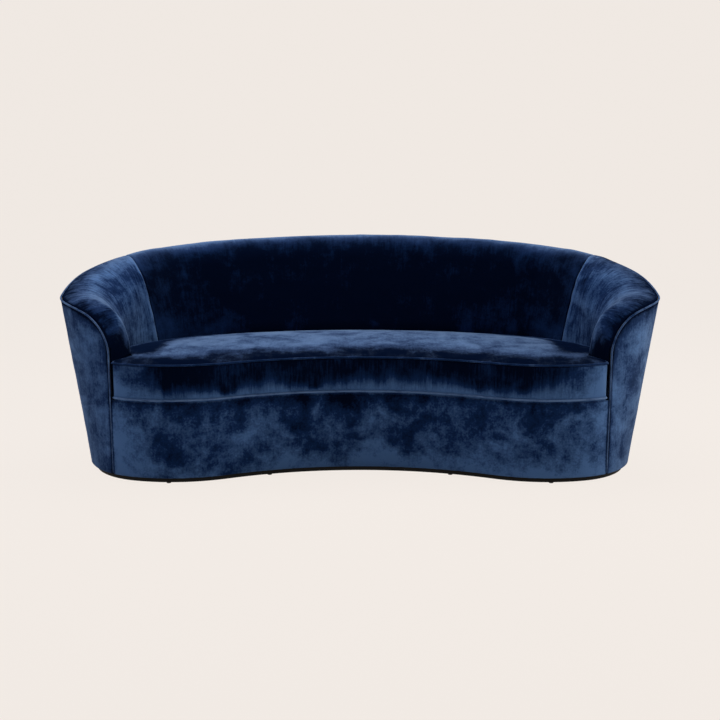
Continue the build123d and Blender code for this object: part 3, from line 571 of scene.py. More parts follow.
def crowd(a: float, b: float, step: float, high: bool = True) -> Array:
    """Places from a to b, a step apart, and much closer at the ends that are seams.

    Args:
        a: first place, a seam.
        b: last place.
        step: spacing away from the ends.
        high: whether b is a seam too.

    Returns:
        The places in order.
    """
    start = a + SEAM_STEPS
    stop = b - SEAM_STEPS[::-1] if high else np.array([b])
    n = max(2, math.ceil((stop[0] - start[-1]) / step))
    return np.concatenate([start[:-1], np.linspace(start[-1], stop[0], n + 1), stop[1:]])


def turned_hem(low: float, depth: float, radius: float, angles: tuple[float, ...]) -> list[Pair]:
    """Section of a hem that is turned under the foot of a panel.

    Args:
        low: height of the foot.
        depth: how far the hem reaches in behind the face.
        radius: radius of the turned edge.
        angles: where that edge has points, in degrees from straight below.

    Returns:
        Places as r and z, from the end of the hem up to the face.
    """
    edge = [(-radius * (1 - math.sin(a)), low + radius * (1 - math.cos(a))) for a in np.radians(angles)]
    return [(-depth, low)] + edge


def mesh_object(name: str, verts: Array, faces: list, uv: Array | None = None,
                pile: tuple = EVEN_PILE) -> bpy.types.Object:
    """Smooth mesh object in the scene.

    Args:
        name: name of the piece.
        verts: places in metres.
        faces: vertex numbers of each face.
        uv: per vertex, metres along and across the cloth.
        pile: per vertex or for all, how far a pile leans to the light with painted light and shade added, how
            streaky and how cloudy it is.

    Returns:
        The new object.
    """
    mesh = bpy.data.meshes.new(name)
    mesh.from_pydata(verts.reshape(-1, 3).tolist(), [], faces)
    mesh.polygons.foreach_set("use_smooth", np.ones(len(mesh.polygons), bool))
    if uv is not None:
        layer = mesh.uv_layers.new(name="cloth")
        index = np.zeros(len(mesh.loops), np.int32)
        mesh.loops.foreach_get("vertex_index", index)
        layer.data.foreach_set("uv", uv.reshape(-1, 2)[index].astype(np.float32).ravel())
        lie = np.stack([np.broadcast_to(share, verts.shape[:-1]) for share in pile], -1).astype(np.float32)
        mesh.attributes.new("pile", "FLOAT_VECTOR", "POINT").data.foreach_set("vector", lie.ravel())
    mesh.update()
    made = bpy.data.objects.new(name, mesh)
    bpy.context.scene.collection.objects.link(made)
    return made


def grid_faces(n: int, m: int, flip: bool = False, ring: bool = False, start: int = 0) -> list:
    """Faces of an n by m grid of vertices.

    Args:
        n: rows.
        m: vertices in a row.
        flip: turn the faces over.
        ring: join the last vertex of a row to its first.
        start: number of the grid's first vertex.

    Returns:
        Four vertex numbers per face.
    """
    i = np.arange(n - 1)[:, None]
    j = np.arange(m if ring else m - 1)[None, :]
    k = (j + 1) % m
    quads = np.stack(np.broadcast_arrays(i * m + j, (i + 1) * m + j, (i + 1) * m + k, i * m + k), -1) + start
    quads = quads.reshape(-1, 4)
    return (quads[:, ::-1] if flip else quads).tolist()


def dress(piece: bpy.types.Object, material: bpy.types.Material, body: Body, slot: str, *nodes: str) -> None:
    """Finish a piece, let it ride on a body and stand for CAD nodes.

    Args:
        piece: the new object.
        material: its finish.
        body: CAD body that it moves with.
        slot: the record's material slot; not used.
        nodes: CAD nodes that it stands for.
    """
    piece.data.materials.append(material)
    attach(piece, body.value)
    if nodes:
        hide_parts(*nodes)
    stood_for = ", ".join(nodes) or "nothing"
    LOG.info("%s: %d vertices, stands for %s", piece.name, len(piece.data.vertices), stood_for)


@dataclass(frozen=True)
class Piping:
    """Round cord in a velvet cover, slightly uneven where the cover is wound round it."""

    radius: float
    # A high lean: partly the pile opening over the cord, partly a painted highlight along it.
    lie: float = 0.72
    cloudy: float = 0.6
    sides: int = 12
    twist: float = 0.012
    twist_pitch: float = 9.0
    upright: float = 0.05

    def lay(self, name: str, path: Array, closed: bool = False) -> bpy.types.Object:
        """Lay the cord along a path.

        Args:
            name: name of the piece.
            path: centre line in millimetres.
            closed: whether the path is a loop.

        Returns:
            The new object.
        """
        if closed:
            path = np.concatenate([path, path[:1]])
            along = unit(np.roll(path[:-1], -1, 0) - np.roll(path[:-1], 1, 0))
            along = np.concatenate([along, along[:1]])
        else:
            along = unit(np.gradient(path, axis=0))
        side = self.steady(along)
        up = np.cross(side, along)
        turn = np.linspace(0, FULL_TURN, self.sides, endpoint=False)
        run = path_run(path)
        uneven = 1 + self.twist * np.sin(run[:, None] * (FULL_TURN / self.twist_pitch) + turn[None, :])
        around = side[:, None] * np.cos(turn)[None, :, None] + up[:, None] * np.sin(turn)[None, :, None]
        rings = path[:, None] + self.radius * uneven[..., None] * around
        faces = grid_faces(len(path), self.sides, ring=True)
        if not closed:
            last = (len(path) - 1) * self.sides
            faces += [list(range(self.sides)), [last + k for k in reversed(range(self.sides))]]
        uv = on_cloth(run[:, None], self.radius * turn[None, :])
        return mesh_object(name, rings * MM, faces, uv, (self.lie, 0.0, self.cloudy))

    def steady(self, along: Array) -> Array:
        """Level sideways directions that never flip over, and are carried on where the cord stands upright.

        Args:
            along: directions of the cord.

        Returns:
            One unit vector per direction.
        """
        side = np.cross(along, (0.0, 0.0, 1.0))
        level = np.linalg.norm(side, axis=1) > self.upright
        last = side[level][0]
        for i, way in enumerate(along):
            if level[i]:
                last = side[i] * (1 if side[i] @ last >= 0 else -1)
            else:
                last = last - way * (last @ way)
            last = unit(last)
            side[i] = last
        return side


class Arc(NamedTuple):
    """One arc of the plan: its start as path length and facing angle, its centre and its radius."""

    start: float
    angle: float
    x: float
    y: float
    radius: float


@dataclass
class Outline:
    """Plan of the covered base: a chain of tangent arcs, from the middle of the back round to the front."""

    half_width: float = 1032.0
    depth: float = 778.0
    end_radius: float = 280.0
    end_y: float = 289.0
    lobe_radius: float = 500.0
    hollow: float = 150.0
    seam_x: float = 907.0
    plinth_recess: float = 20.0
    arcs: list[Arc] = field(init=False)

    def __post_init__(self) -> None:
        """Work out the arcs and where each one ends."""
        end_x = self.half_width - self.end_radius
        gap = self.lobe_radius - self.end_radius
        lobe_x = end_x - math.sqrt(gap ** 2 - (self.lobe_radius - self.end_y) ** 2)
        hollow_y = (lobe_x ** 2 - self.hollow ** 2 - 2 * self.hollow * self.lobe_radius) / (2 * self.hollow)
        hollow_radius = self.hollow + hollow_y
        reach = self.depth - self.end_y
        back_radius = (end_x ** 2 + reach ** 2 - self.end_radius ** 2) / (2 * (reach - self.end_radius))
        back_y = self.depth - back_radius
        back = math.atan2(end_x, self.end_y - back_y)
        lobe = math.atan2(end_x - lobe_x, self.end_y - self.lobe_radius)
        hollow = math.pi + math.atan2(lobe_x, self.lobe_radius + hollow_y)
        self.seam_angle = math.pi - math.asin((self.seam_x - end_x) / self.end_radius)
        self.s_back = back_radius * back
        self.s_seam = self.s_back + self.end_radius * (self.seam_angle - back)
        s_end = self.s_back + self.end_radius * (lobe - back)
        s_lobe = s_end + self.lobe_radius * (hollow - lobe)
        self.s_half = s_lobe + hollow_radius * (hollow - math.pi)
        self.arcs = [Arc(0.0, 0.0, 0.0, back_y, back_radius),
                     Arc(self.s_back, back, end_x, self.end_y, self.end_radius),
                     Arc(s_end, lobe, lobe_x, self.lobe_radius, self.lobe_radius),
                     Arc(s_lobe, hollow, 0.0, -hollow_y, -hollow_radius)]
        # The CAD model is centred on its box; the back of the plinth says by how much it was moved.
        self.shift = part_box("plinth_back")[1].y / MM - (self.depth - self.plinth_recess)

    def place(self, s: Array) -> tuple[Array, Array, Array]:
        """Points of the outline.

        Args:
            s: path lengths, either way round.

        Returns:
            Points, outward normals (both with x and y) and facing angles.
        """
        s = np.asarray(s, float)
        side = np.where(s < 0, -1.0, 1.0)
        s = np.abs(s)
        side = np.where(s > self.s_half, -side, side)
        s = np.where(s > self.s_half, 2 * self.s_half - s, s)
        phi, x, y = np.zeros_like(s), np.zeros_like(s), np.zeros_like(s)
        for arc in self.arcs:
            on = s >= arc.start
            turn = arc.angle + (s - arc.start) / arc.radius
            phi = np.where(on, turn, phi)
            x = np.where(on, arc.x + arc.radius * np.sin(turn), x)
            y = np.where(on, arc.y + arc.radius * np.cos(turn), y)
        points = np.stack([side * x, y + self.shift], -1)
        return points, np.stack([side * np.sin(phi), np.cos(phi)], -1), phi

    def at(self, s: Array, r: Array, z: Array) -> Array:
        """Points in space.

        Args:
            s: path lengths.
            r: distances outwards from the outline.
            z: heights.

        Returns:
            The places in millimetres.
        """
        s, r, z = np.broadcast_arrays(np.asarray(s, float), np.asarray(r, float), np.asarray(z, float))
        points, normal, _ = self.place(s)
        return np.concatenate([points + normal * r[..., None], z[..., None]], -1)


@dataclass
class Shell:
    """Back and arms: how far the outside leans, how high the top seam is, how thick the inside is padded.

    Where a size differs between the back and the arms, the back's comes first.
    """

    plan: Outline
    base_z: float = 24.0
    back_edge: tuple[Pair, ...] = ((0.0, 816.0), (0.5, 805.0), (0.89, 777.0), (1.0, 756.0))
    arm_edge: tuple[Pair, ...] = ((0.22, 716.0), (0.51, 654.0), (0.716, 633.0), (1.0, 572.0))
    front_fall: float = 100.0
    front_fall_run: float = 110.0
    lean_back: float = 0.18
    lean_side: float = 0.146
    seat_line: float = 470.0
    pad_bottom: float = 285.0
    swell_before: float = 240.0
    swell_after: float = 140.0
    pad: Pair = (75.0, 132.0)
    inside_lean: Pair = (0.25, 0.03)
    roll: Pair = (78.0, 150.0)
    roll_above_seat: float = 20.0
    roll_roundness: float = 0.55
    crown: Pair = (8.0, 20.0)
    crest: Pair = (42.0, 75.0)
    crest_past: float = 0.5
    crest_down: Pair = (0.25, 0.6)
    section_points: tuple[int, int, int, int] = (10, 14, 34, 22)
    welt_proud: float = 2.0
    edge_depth: float = 6.0
    nose_depth: float = 40.0
    nose_gap: float = 3.0

    def lean(self, s: Array) -> Array:
        """Outward lean of the outside, none at the front.

        Args:
            s: path lengths.

        Returns:
            Millimetres outwards per millimetre of height.
        """
        s = np.abs(np.asarray(s, float))
        phi = self.plan.place(s)[2]
        side = self.lean_back + (self.lean_side - self.lean_back) * phi / QUARTER_TURN
        share = np.clip((phi - QUARTER_TURN) / (self.plan.seam_angle - QUARTER_TURN), 0.0, 1.0)
        lean = np.where(phi <= QUARTER_TURN, side, self.lean_side * np.cos(QUARTER_TURN * share) ** 2)
        return np.where(s >= self.plan.s_seam, 0.0, lean)

    def face(self, s: Array, z: Array, depth: float = 0.0) -> Array:
        """Outside face, as r, at height z and a depth behind it."""
        return self.lean(s) * (np.asarray(z, float) - self.base_z) - depth

    def edge(self, s: Array) -> Array:
        """Height of the top seam: a smooth curve that never overshoots its points, falling away at the front.

        Args:
            s: path lengths.

        Returns:
            One height per path length.
        """
        plan = self.plan
        s = np.minimum(np.abs(np.asarray(s, float)), plan.s_seam)
        run = plan.s_seam - plan.s_back
        x = np.array([share * plan.s_back for share, _ in self.back_edge]
                     + [plan.s_back + share * run for share, _ in self.arm_edge])
        y = np.array([z for _, z in self.back_edge + self.arm_edge])
        h = np.diff(x)
        rise = np.diff(y) / h
        slope = np.zeros(len(x))
        slope[-1] = rise[-1]
        a, b = 2 * h[1:] + h[:-1], h[1:] + 2 * h[:-1]
        slope[1:-1] = (a + b) / (a / rise[:-1] + b / rise[1:])
        k = np.clip(np.searchsorted(x, s, side="right") - 1, 0, len(h) - 1)
        t = np.clip((s - x[k]) / h[k], 0.0, 1.0)
        z = (y[k] * (1 + 2 * t) * (1 - t) ** 2 + h[k] * slope[k] * t * (1 - t) ** 2
             + y[k + 1] * t * t * (3 - 2 * t) + h[k] * slope[k + 1] * t * t * (t - 1))
        v = np.clip(1 - (plan.s_seam - s) / self.front_fall_run, 0.0, 1.0)
        return z - self.front_fall * (1 - np.sqrt(1 - v * v))

    def swell(self, s: Array, sizes: Pair) -> Array:
        """Blend of a back size into an arm size across the inside seam.

        Args:
            s: path lengths.
            sizes: the back's size and the arm's.

        Returns:
            One size per path length.
        """
        start = self.plan.s_back - self.swell_before
        t = ramp(np.abs(s), 1.0, start, self.swell_before + self.swell_after)
        return sizes[0] + (sizes[1] - sizes[0]) * ease(t)

    def inside(self, s: Array, z: Array) -> Array:
        """Upholstered inside face, as r: upright beside the cushion, leaning back above it."""
        return -self.swell(s, self.pad) + np.maximum(0.0, z - self.seat_line) * self.swell(s, self.inside_lean)

    def section(self, s: Array, close: Array) -> Array:
        """Upholstered inside from its foot over the roll to the top seam: two lines, then two Bezier curves.

        Args:
            s: path lengths of the sections.
            close: per section, its share of the full thickness.

        Returns:
            Grid of places, sections by points, in millimetres.
        """
        z_edge = self.edge(s)
        z_top = z_edge + self.swell(s, self.crown) * close
        z_roll = z_edge - self.swell(s, self.roll)
        z_seat = np.minimum(self.seat_line, z_roll - self.roll_above_seat)
        z_foot = np.full_like(s, self.pad_bottom)
        r_edge = self.face(s, z_edge, self.edge_depth)
        r_top = r_edge - self.swell(s, self.crest) * close

        def inner(z: Array) -> Array:
            """Inside face, drawn towards the outside where the arm closes."""
            outer = self.face(s, z, self.edge_depth)
            return outer - (outer - self.inside(s, z)) * close

        foot = np.stack([inner(z_foot), z_foot], -1)
        seat = np.stack([inner(z_seat), z_seat], -1)
        roll = np.stack([inner(z_roll), z_roll], -1)
        edge = np.stack([r_edge, z_edge], -1)
        top = np.stack([r_top, z_top], -1)
        up = self.roll_roundness * (z_top - z_roll)
        over = self.roll_roundness * (r_top - roll[:, 0])
        run, drop = r_edge - r_top, z_top - z_edge
        back, above = self.crest_down
        rise = np.stack([roll[:, 0] + self.swell(s, self.inside_lean) * up, z_roll + up], -1)
        level = np.stack([r_top - over, z_top], -1)
        past = np.stack([r_top + self.crest_past * run, z_top], -1)
        down = np.stack([r_edge - back * run, z_edge + above * drop], -1)
        lines = ((foot, seat), (seat, roll), (roll, rise, level, top), (top, past, down, edge))
        rows = []
        for line, count in zip(lines, self.section_points):
            t = np.linspace(0, 1, count, endpoint=False)[:, None, None]
            degree = len(line) - 1
            rows.append(sum(math.comb(degree, i) * t ** i * (1 - t) ** (degree - i) * point
                            for i, point in enumerate(line)))
        rows.append(edge[None])
        rz = np.concatenate(rows).transpose(1, 0, 2)
        return self.plan.at(s[:, None], rz[..., 0], rz[..., 1])


@dataclass(frozen=True)
class Brushing:
    """How one arm was brushed, and the light painted on it: the seed of its pattern, the painted highlight on
    its crest, and round the front the painted shade at the welt and how it lifts towards the ridge.
    """

    seed: int
    crest: float
    nose: float
    nose_fall: float


# The left arm gets the stronger painted highlight on its crest, the right one the lighter front.
ARM_BRUSHING_AND_PAINTED_LIGHT = {Side.RIGHT: Brushing(31, 0.12, 0.14, 2.2), Side.LEFT: Brushing(47, 0.26, 0.05, 4.2)}


@dataclass
class InsideUpholstery:
    """Padded inside of the back and of the two arms, in three panels sewn together.

    The lie of the pile is a sum of bands. A band is a height, a middle and a width, or where it sets in
    and stays a height, a start and a run. Bands run down from the top seam, or along from an inside seam.
    """

    shell: Shell
    step: float = 11.0
    fine_columns: int = 900
    flap: float = 5.0
    seam_tuck: float = 5.0
    edge_tuck: float = 4.0
    seam_slant: float = 0.19
    slant_power: int = 6
    slant_run: float = 110.0
    slant_stop: float = 120.0
    hills: Waves = ((0.9, 260.0), (0.35, 70.0))
    deepest: float = -1.2
    back_seed: int = 11
    pucker: Pair = (1.2, 25.0)
    pucker_wave: Band = (17.0, 2.0, 61.0)
    arm_pucker_phase: float = 1.0
    fold: Band = (0.45, 95.0, 70.0)
    fold_wave: Band = (8.5, 1.6, 37.0)
    fold_slant: float = 90.0
    fold_start: float = 90.0
    front_fill: Band = (3.0, -12.0, 34.0)
    edge_shadow: Band = (-0.7, 0.0, 8.0)
    # Low lean of the back, partly painted shade, and the painted highlight along its top seam.
    back_lie_and_shade: float = 0.15
    back_crest_highlight: Band = (0.9, 0.0, 85.0)
    back_sides: Pair = (0.16, 160.0)
    back_foot: Band = (0.16, 0.0, 70.0)
    back_foot_sides: Band = (1.0, 380.0, 300.0)
    back_streaks: Pair = (0.2, 0.45)
    arm_lie: float = 0.56
    # Middle and width of the painted highlight on the crest.
    arm_crest_highlight: Pair = (115.0, 45.0)
    # Painted shade just under the top seam.
    arm_edge: Band = (-0.26, 0.0, 48.0)
    arm_low: Band = (0.12, 170.0, 80.0)
    # Painted shade in the corner by the inside seam, some way below the top seam.
    corner_shade_along: Band = (-0.2, 45.0, 45.0)
    corner_shade_down: Band = (1.0, 190.0, 90.0)
    # Painted highlight along the front ridge, below the roll.
    front_ridge_highlight: Band = (0.25, 3.0, 7.0)
    front_ridge_highlight_from: float = 90.0
    # Painted light round the front, rising towards the ridge.
    nose_light: float = 0.6
    # Painted shade at the arm's foot by the cushion, stronger towards the front.
    foot_shade_forward: Band = (-0.5, 90.0, 160.0)
    foot_shade_height: Band = (1.0, 430.0, 55.0)
    foot_shade_top: float = 520.0
    # Painted highlight along the inside seam.
    seam_light: Band = (0.25, 5.0, 5.0)
    arm_streaks: Pair = (0.7, 0.75)

    def relief(self, points: Array, seed: int) -> Array:
        """Slight unevenness of stretched cloth over foam."""
        return np.maximum(self.deepest, unevenness(points, self.hills, seed))

    def wander(self, x: Array, wave: Band) -> Array:
        """Angle of an uneven wave, from its length, how much it wanders and over what length."""
        length, much, over = wave
        return x / length + much * np.sin(x / over)

    def puckers(self, to_seam: Array, rise: Array, phase: float = 0.0) -> Array:
        """Small puckers where an inside seam pulls the cloth tight."""
        return fade(to_seam, *self.pucker) * np.sin(self.wander(rise, self.pucker_wave) + phase)

    def leaning(self, s: Array, close: Array, weight: Array) -> Array:
        """Sections whose columns lean to the middle of the back lower down, as the inside seams do.

        Args:
            s: path lengths of the columns at the top seam.
            close: per column, its share of the full thickness.
            weight: per column, its share of the lean.

        Returns:
            Grid of places, columns by points, in millimetres.
        """
        points = self.shell.section(s, close)
        drop = np.maximum(0.0, points[:, -1:, 2] - points[..., 2])
        want = s[:, None] - np.sign(s)[:, None] * self.seam_slant * drop * weight[:, None]
        known = np.linspace(want.min(), want.max(), self.fine_columns)
        dense = self.shell.section(known, np.interp(known, s, close))
        moved = weight > 1e-3
        for row in range(points.shape[1]):
            for axis in range(3):
                points[moved, row, axis] = np.interp(want[moved, row], known, dense[:, row, axis])
        return points

    def back(self, material: bpy.types.Material) -> None:
        """Middle panel, between the two inside seams.

        Args:
            material: its velvet.
        """
        plan = self.shell.plan
        s = crowd(-plan.s_back, plan.s_back, self.step)
        points = self.leaning(s, np.ones_like(s), (np.abs(s) / plan.s_back) ** self.slant_power)
        rise = path_run(points, axis=1)
        to_seam = (plan.s_back - np.abs(s))[:, None]
        to_edge = rise[:, -1:] - rise
        move = self.relief(points, self.back_seed) + self.puckers(to_seam, rise)
        move = move - tuck(to_seam, self.seam_tuck) - tuck(to_edge, self.edge_tuck)
        points = points + grid_normals(points) * move[..., None]
        # Painted shade over the whole back and a painted highlight along its top seam; lighter towards the
        # inside seams, with brush marks low down at the sides and a painted shadow at the top seam's edge.
        nap = self.back_lie_and_shade + bell(to_edge, *self.back_crest_highlight) + fade(to_seam, *self.back_sides)
        foot = bell(points[..., 2] - self.shell.seat_line, *self.back_foot)
        nap = nap + foot * ramp(np.abs(s)[:, None], *self.back_foot_sides) + bell(to_edge, *self.edge_shadow)
        piece = mesh_object("inside_back_panel", points * MM, grid_faces(*points.shape[:2]),
                            on_cloth(s[:, None], rise), (nap, *self.back_streaks))
        dress(piece, material, Body.FRAME, "navy_velvet", "inside_back_cover", "back_pad")

    def arm(self, side: Side, material: bpy.types.Material) -> None:
        """Arm panel, from the inside seam to the rounded front of the arm.

        Args:
            side: which arm.
            material: its velvet.
        """
        shell, plan = self.shell, self.shell.plan
        front = plan.s_seam - shell.nose_gap - shell.nose_depth
        # The front closes on a quarter circle, in steps that get finer towards the welt.
        angles = np.radians(np.concatenate([np.arange(88, 20, -4), np.arange(20, 0, -2.5)]))
        body = crowd(plan.s_back, front, self.step, high=False)
        s = np.concatenate([body, front + shell.nose_depth * np.cos(angles), [plan.s_seam + self.flap]])
        close = np.concatenate([np.ones_like(body), np.sin(angles), [0.0]])
        slant = np.where(s < front - self.slant_stop, fade(s - plan.s_back, 1.0, self.slant_run), 0.0)
        points = self.leaning(s, close, slant)
        # The last column lies behind the front welt and is as high as the one before it.
        ahead = unit(plan.at(plan.s_seam + 1.0, 0.0, 0.0) - plan.at(plan.s_seam - 1.0, 0.0, 0.0))
        points[-1] = points[-2] + ahead * (self.flap + shell.nose_gap)
        rise = path_run(points, axis=1)
        to_seam = (s - plan.s_back)[:, None]
        to_edge = rise[:, -1:] - rise
        full = close[:, None]
        folds = np.sin(self.wander(s[:, None], self.fold_wave) + to_edge / self.fold_slant)
        folds = bell(to_edge, *self.fold) * ramp(to_seam, 1.0, 0.0, self.fold_start) * full * folds
        past_front = (s - front)[:, None]
        pull = self.puckers(to_seam, rise, self.arm_pucker_phase) + bell(past_front, *self.front_fill)
        move = self.relief(points, ARM_BRUSHING_AND_PAINTED_LIGHT[side].seed) * full + folds + pull
        move = move - tuck(to_seam, self.seam_tuck) - tuck(to_edge, self.edge_tuck) * full
        points = (points + grid_normals(points) * move[..., None]) * (side.value, 1.0, 1.0)
        nap = self.arm_nap(ARM_BRUSHING_AND_PAINTED_LIGHT[side], to_seam, to_edge, points[..., 2], full, past_front)
        piece = mesh_object(f"inside_arm_panel_{side.tag}", points * MM,
                            grid_faces(*points.shape[:2], flip=side is Side.LEFT),
                            on_cloth(s[:, None], rise), (nap, *self.arm_streaks))
        dress(piece, material, Body.FRAME, "navy_velvet", *(f"{node}_{side.tag}" for node in
                                                            ("inside_arm_cover", "arm_pad", "arm_front_pad")))

    def arm_nap(self, brushing_and_light: Brushing, to_seam: Array, to_edge: Array, z: Array, full: Array,
                past_front: Array) -> Array:
        """How far an arm's pile leans to the light, with painted light and shade: painted highlights on the
        crest, the front ridge and the inside seam, painted shade under the top seam, round the front and at
        the foot.

        Args:
            brushing_and_light: how this arm was brushed, and the light painted on it.
            to_seam: distance from the inside seam.
            to_edge: distance down from the top seam.
            z: height.
            full: share of the full thickness.
            past_front: distance past the start of the rounded front.

        Returns:
            One lean per place.
        """
        # Painted highlight on the crest and painted shade just under the top seam.
        nap = self.arm_lie + bell(to_edge, brushing_and_light.crest, *self.arm_crest_highlight) + bell(to_edge, *self.arm_edge)
        # Painted shade in the corner by the inside seam.
        nap = nap + bell(to_seam, *self.corner_shade_along) * bell(to_edge, *self.corner_shade_down)
        nap = nap + ramp(to_edge, *self.arm_low)
        # Painted highlight along the front ridge.
        nap = nap + bell(past_front, *self.front_ridge_highlight) * (to_edge > self.front_ridge_highlight_from)
        # Round the front, painted shade that lifts towards the ridge.
        on_nose = np.minimum(nap, brushing_and_light.nose + self.nose_light * full ** brushing_and_light.nose_fall)
        nap = np.where(past_front > 0.0, on_nose, nap)
        # Painted shade at the foot by the cushion, stronger towards the front, and a painted highlight along
        # the inside seam.
        foot = bell(np.minimum(z, self.foot_shade_top), *self.foot_shade_height)
        nap = nap + ramp(to_seam, *self.foot_shade_forward) * foot + bell(to_seam, *self.seam_light)
        return nap + bell(to_edge, *self.edge_shadow)


@dataclass
class OutsidePanels:
    """Velvet stretched over the outside of the back and arms, turned under at the base."""

    shell: Shell
    step: float = 16.0
    seam_tuck: float = 2.2
    seam_gap: float = 0.2
    top_gap: float = 1.5
    hem: float = 20.4
    hem_radius: float = 3.0
    hem_angles: Band = (0.0, 30.0, 60.0)
    foot_shares: tuple[float, ...] = (0.0, 0.004, 0.01, 0.02, 0.04)
    middle_shares: Pair = (0.07, 0.93)
    middle_rows: int = 34
    top_shares: tuple[float, ...] = (0.955, 0.972, 0.984, 0.992, 0.997, 1.0)
    front_columns: int = 26
    hills: Waves = ((0.5, 300.0), (0.22, 80.0))
    deepest: float = -0.5
    calm_run: float = 30.0
    cut_allowance: float = 1.1
    lie: float = 0.68
    top_shade: Pair = (-0.34, 40.0)
    seam_shade: Pair = (-0.16, 18.0)
    edge_shadow: Band = (-0.6, 0.0, 8.0)
    streaky: float = 0.2
    cloudy: Pair = (0.5, 0.8)

    def panel(self, name: str, s: Array, seams: Array, seed: int, side: Side | None) -> bpy.types.Object:
        """One stretched panel.

        Args:
            name: name of the piece.
            s: path lengths of its columns.
            seams: per column, distance to the nearest upright seam.
            seed: number that fixes its unevenness.
            side: which arm, or None for the back.

        Returns:
            The new object.
        """
        shell = self.shell
        top = shell.edge(s) - self.top_gap
        foot = shell.base_z + self.hem_radius
        middle = np.linspace(*self.middle_shares, self.middle_rows)
        share = np.concatenate([self.foot_shares, middle, self.top_shares])
        z = foot + (top - foot)[:, None] * share[None]
        points = shell.plan.at(s[:, None], shell.face(s[:, None], z), z)
        to_top = top[:, None] - z
        seams = seams[:, None]
        calm = np.minimum(1.0, to_top / self.calm_run)
        move = np.maximum(self.deepest, unevenness(points, self.hills, seed)) * calm
        move = move - tuck(to_top, self.seam_tuck) - tuck(seams, self.seam_tuck)
        points = points - grid_normals(points) * move[..., None]
        rz = np.array(turned_hem(shell.base_z, self.hem, self.hem_radius, self.hem_angles))
        hem = shell.plan.at(s[:, None], rz[None, :, 0], rz[None, :, 1])
        mirror = 1.0 if side is None else side.value
        points = np.concatenate([hem, points], 1) * (mirror, 1.0, 1.0)
        to_top = np.concatenate([np.full(hem.shape[:2], np.inf), to_top], 1)
        to_front = (shell.plan.s_seam - np.abs(s))[:, None]
        nap = self.lie + fade(to_top, *self.top_shade) + fade(seams, *self.seam_shade)
        nap = nap + bell(to_top, *self.edge_shadow) + bell(to_front, *self.edge_shadow)
        cloudy = np.where(np.abs(s) <= shell.plan.s_back, *self.cloudy)[:, None]
        faces = grid_faces(*points.shape[:2], flip=side is not Side.LEFT)
        return mesh_object(name, points * MM, faces, on_cloth(s[:, None], path_run(points, axis=1)),
                           (nap, self.streaky, cloudy))

    def declare(self, piece: bpy.types.Object) -> None:
        """Read the cloth places of a panel; nothing further is done with them.

        Args:
            piece: the panel.
        """
        uv = np.zeros(len(piece.data.loops) * 2, np.float32)
        piece.data.uv_layers["cloth"].data.foreach_get("uv", uv)

    def build(self, material: bpy.types.Material) -> None:
        """Back panel and the two arm panels.

        Args:
            material: their velvet.
        """
        plan = self.shell.plan
        s = crowd(-plan.s_back, plan.s_back, self.step)
        piece = self.panel("outside_back_panel", s, plan.s_back - np.abs(s), 61, None)
        dress(piece, material, Body.FRAME, "navy_velvet", "outside_back_cover")
        self.declare(piece)
        fall = plan.s_seam - self.shell.front_fall_run
        round_front = np.sin(np.linspace(0, QUARTER_TURN, self.front_columns))
        s = np.concatenate([crowd(plan.s_back, fall, self.step, high=False)[:-1],
                            fall + (self.shell.front_fall_run - self.seam_gap) * round_front])
        seams = np.minimum(s - plan.s_back, plan.s_seam - self.seam_gap - s)
        for side, seed in ((Side.RIGHT, 71), (Side.LEFT, 83)):
            piece = self.panel(f"outside_arm_panel_{side.tag}", s, seams, seed, side)
            dress(piece, material, Body.FRAME, "navy_velvet", f"outside_arm_cover_{side.tag}")
            self.declare(piece)


@dataclass
class ShellWelt:
    """One velvet-covered cord along the whole top seam and down both front seams."""

    shell: Shell
    cord: float = 6.6
    steps: Band = (7.0, 6.0, 6.0)
    front_points: int = 40
    first_down: float = 4.0
    foot_gap: float = 1.0

    def path(self) -> Array:
        """Centre line of the cord.

        Returns:
            Places from the left foot over the back to the right foot, in millimetres.
        """
        shell, plan = self.shell, self.shell.plan
        on_back, on_arm, on_front = self.steps
        fall = plan.s_seam - shell.front_fall_run
        round_front = np.sin(np.linspace(0, QUARTER_TURN, self.front_points))
        s = np.concatenate([np.arange(0.0, plan.s_back, on_back), np.arange(plan.s_back, fall, on_arm),
                            fall + shell.front_fall_run * round_front])
        z = shell.edge(s)
        down = np.arange(z[-1] - self.first_down, shell.base_z + self.foot_gap, -on_front)
        s = np.concatenate([s, np.full(len(down), plan.s_seam)])
        z = np.concatenate([z, down])
        right = plan.at(s, shell.face(s, z, self.cord / 2 - shell.welt_proud), z)
        return np.concatenate([(right * (-1.0, 1.0, 1.0))[:0:-1], right])

    def build(self, material: bpy.types.Material) -> None:
        """Make the cord.

        Args:
            material: its velvet.
        """
        piece = Piping(self.cord / 2).lay("shell_welt", self.path())
        dress(piece, material, Body.FRAME, "navy_velvet_cord", "welt_back", "welt_arm_left", "welt_arm_right",
              "welt_front_left", "welt_front_right")


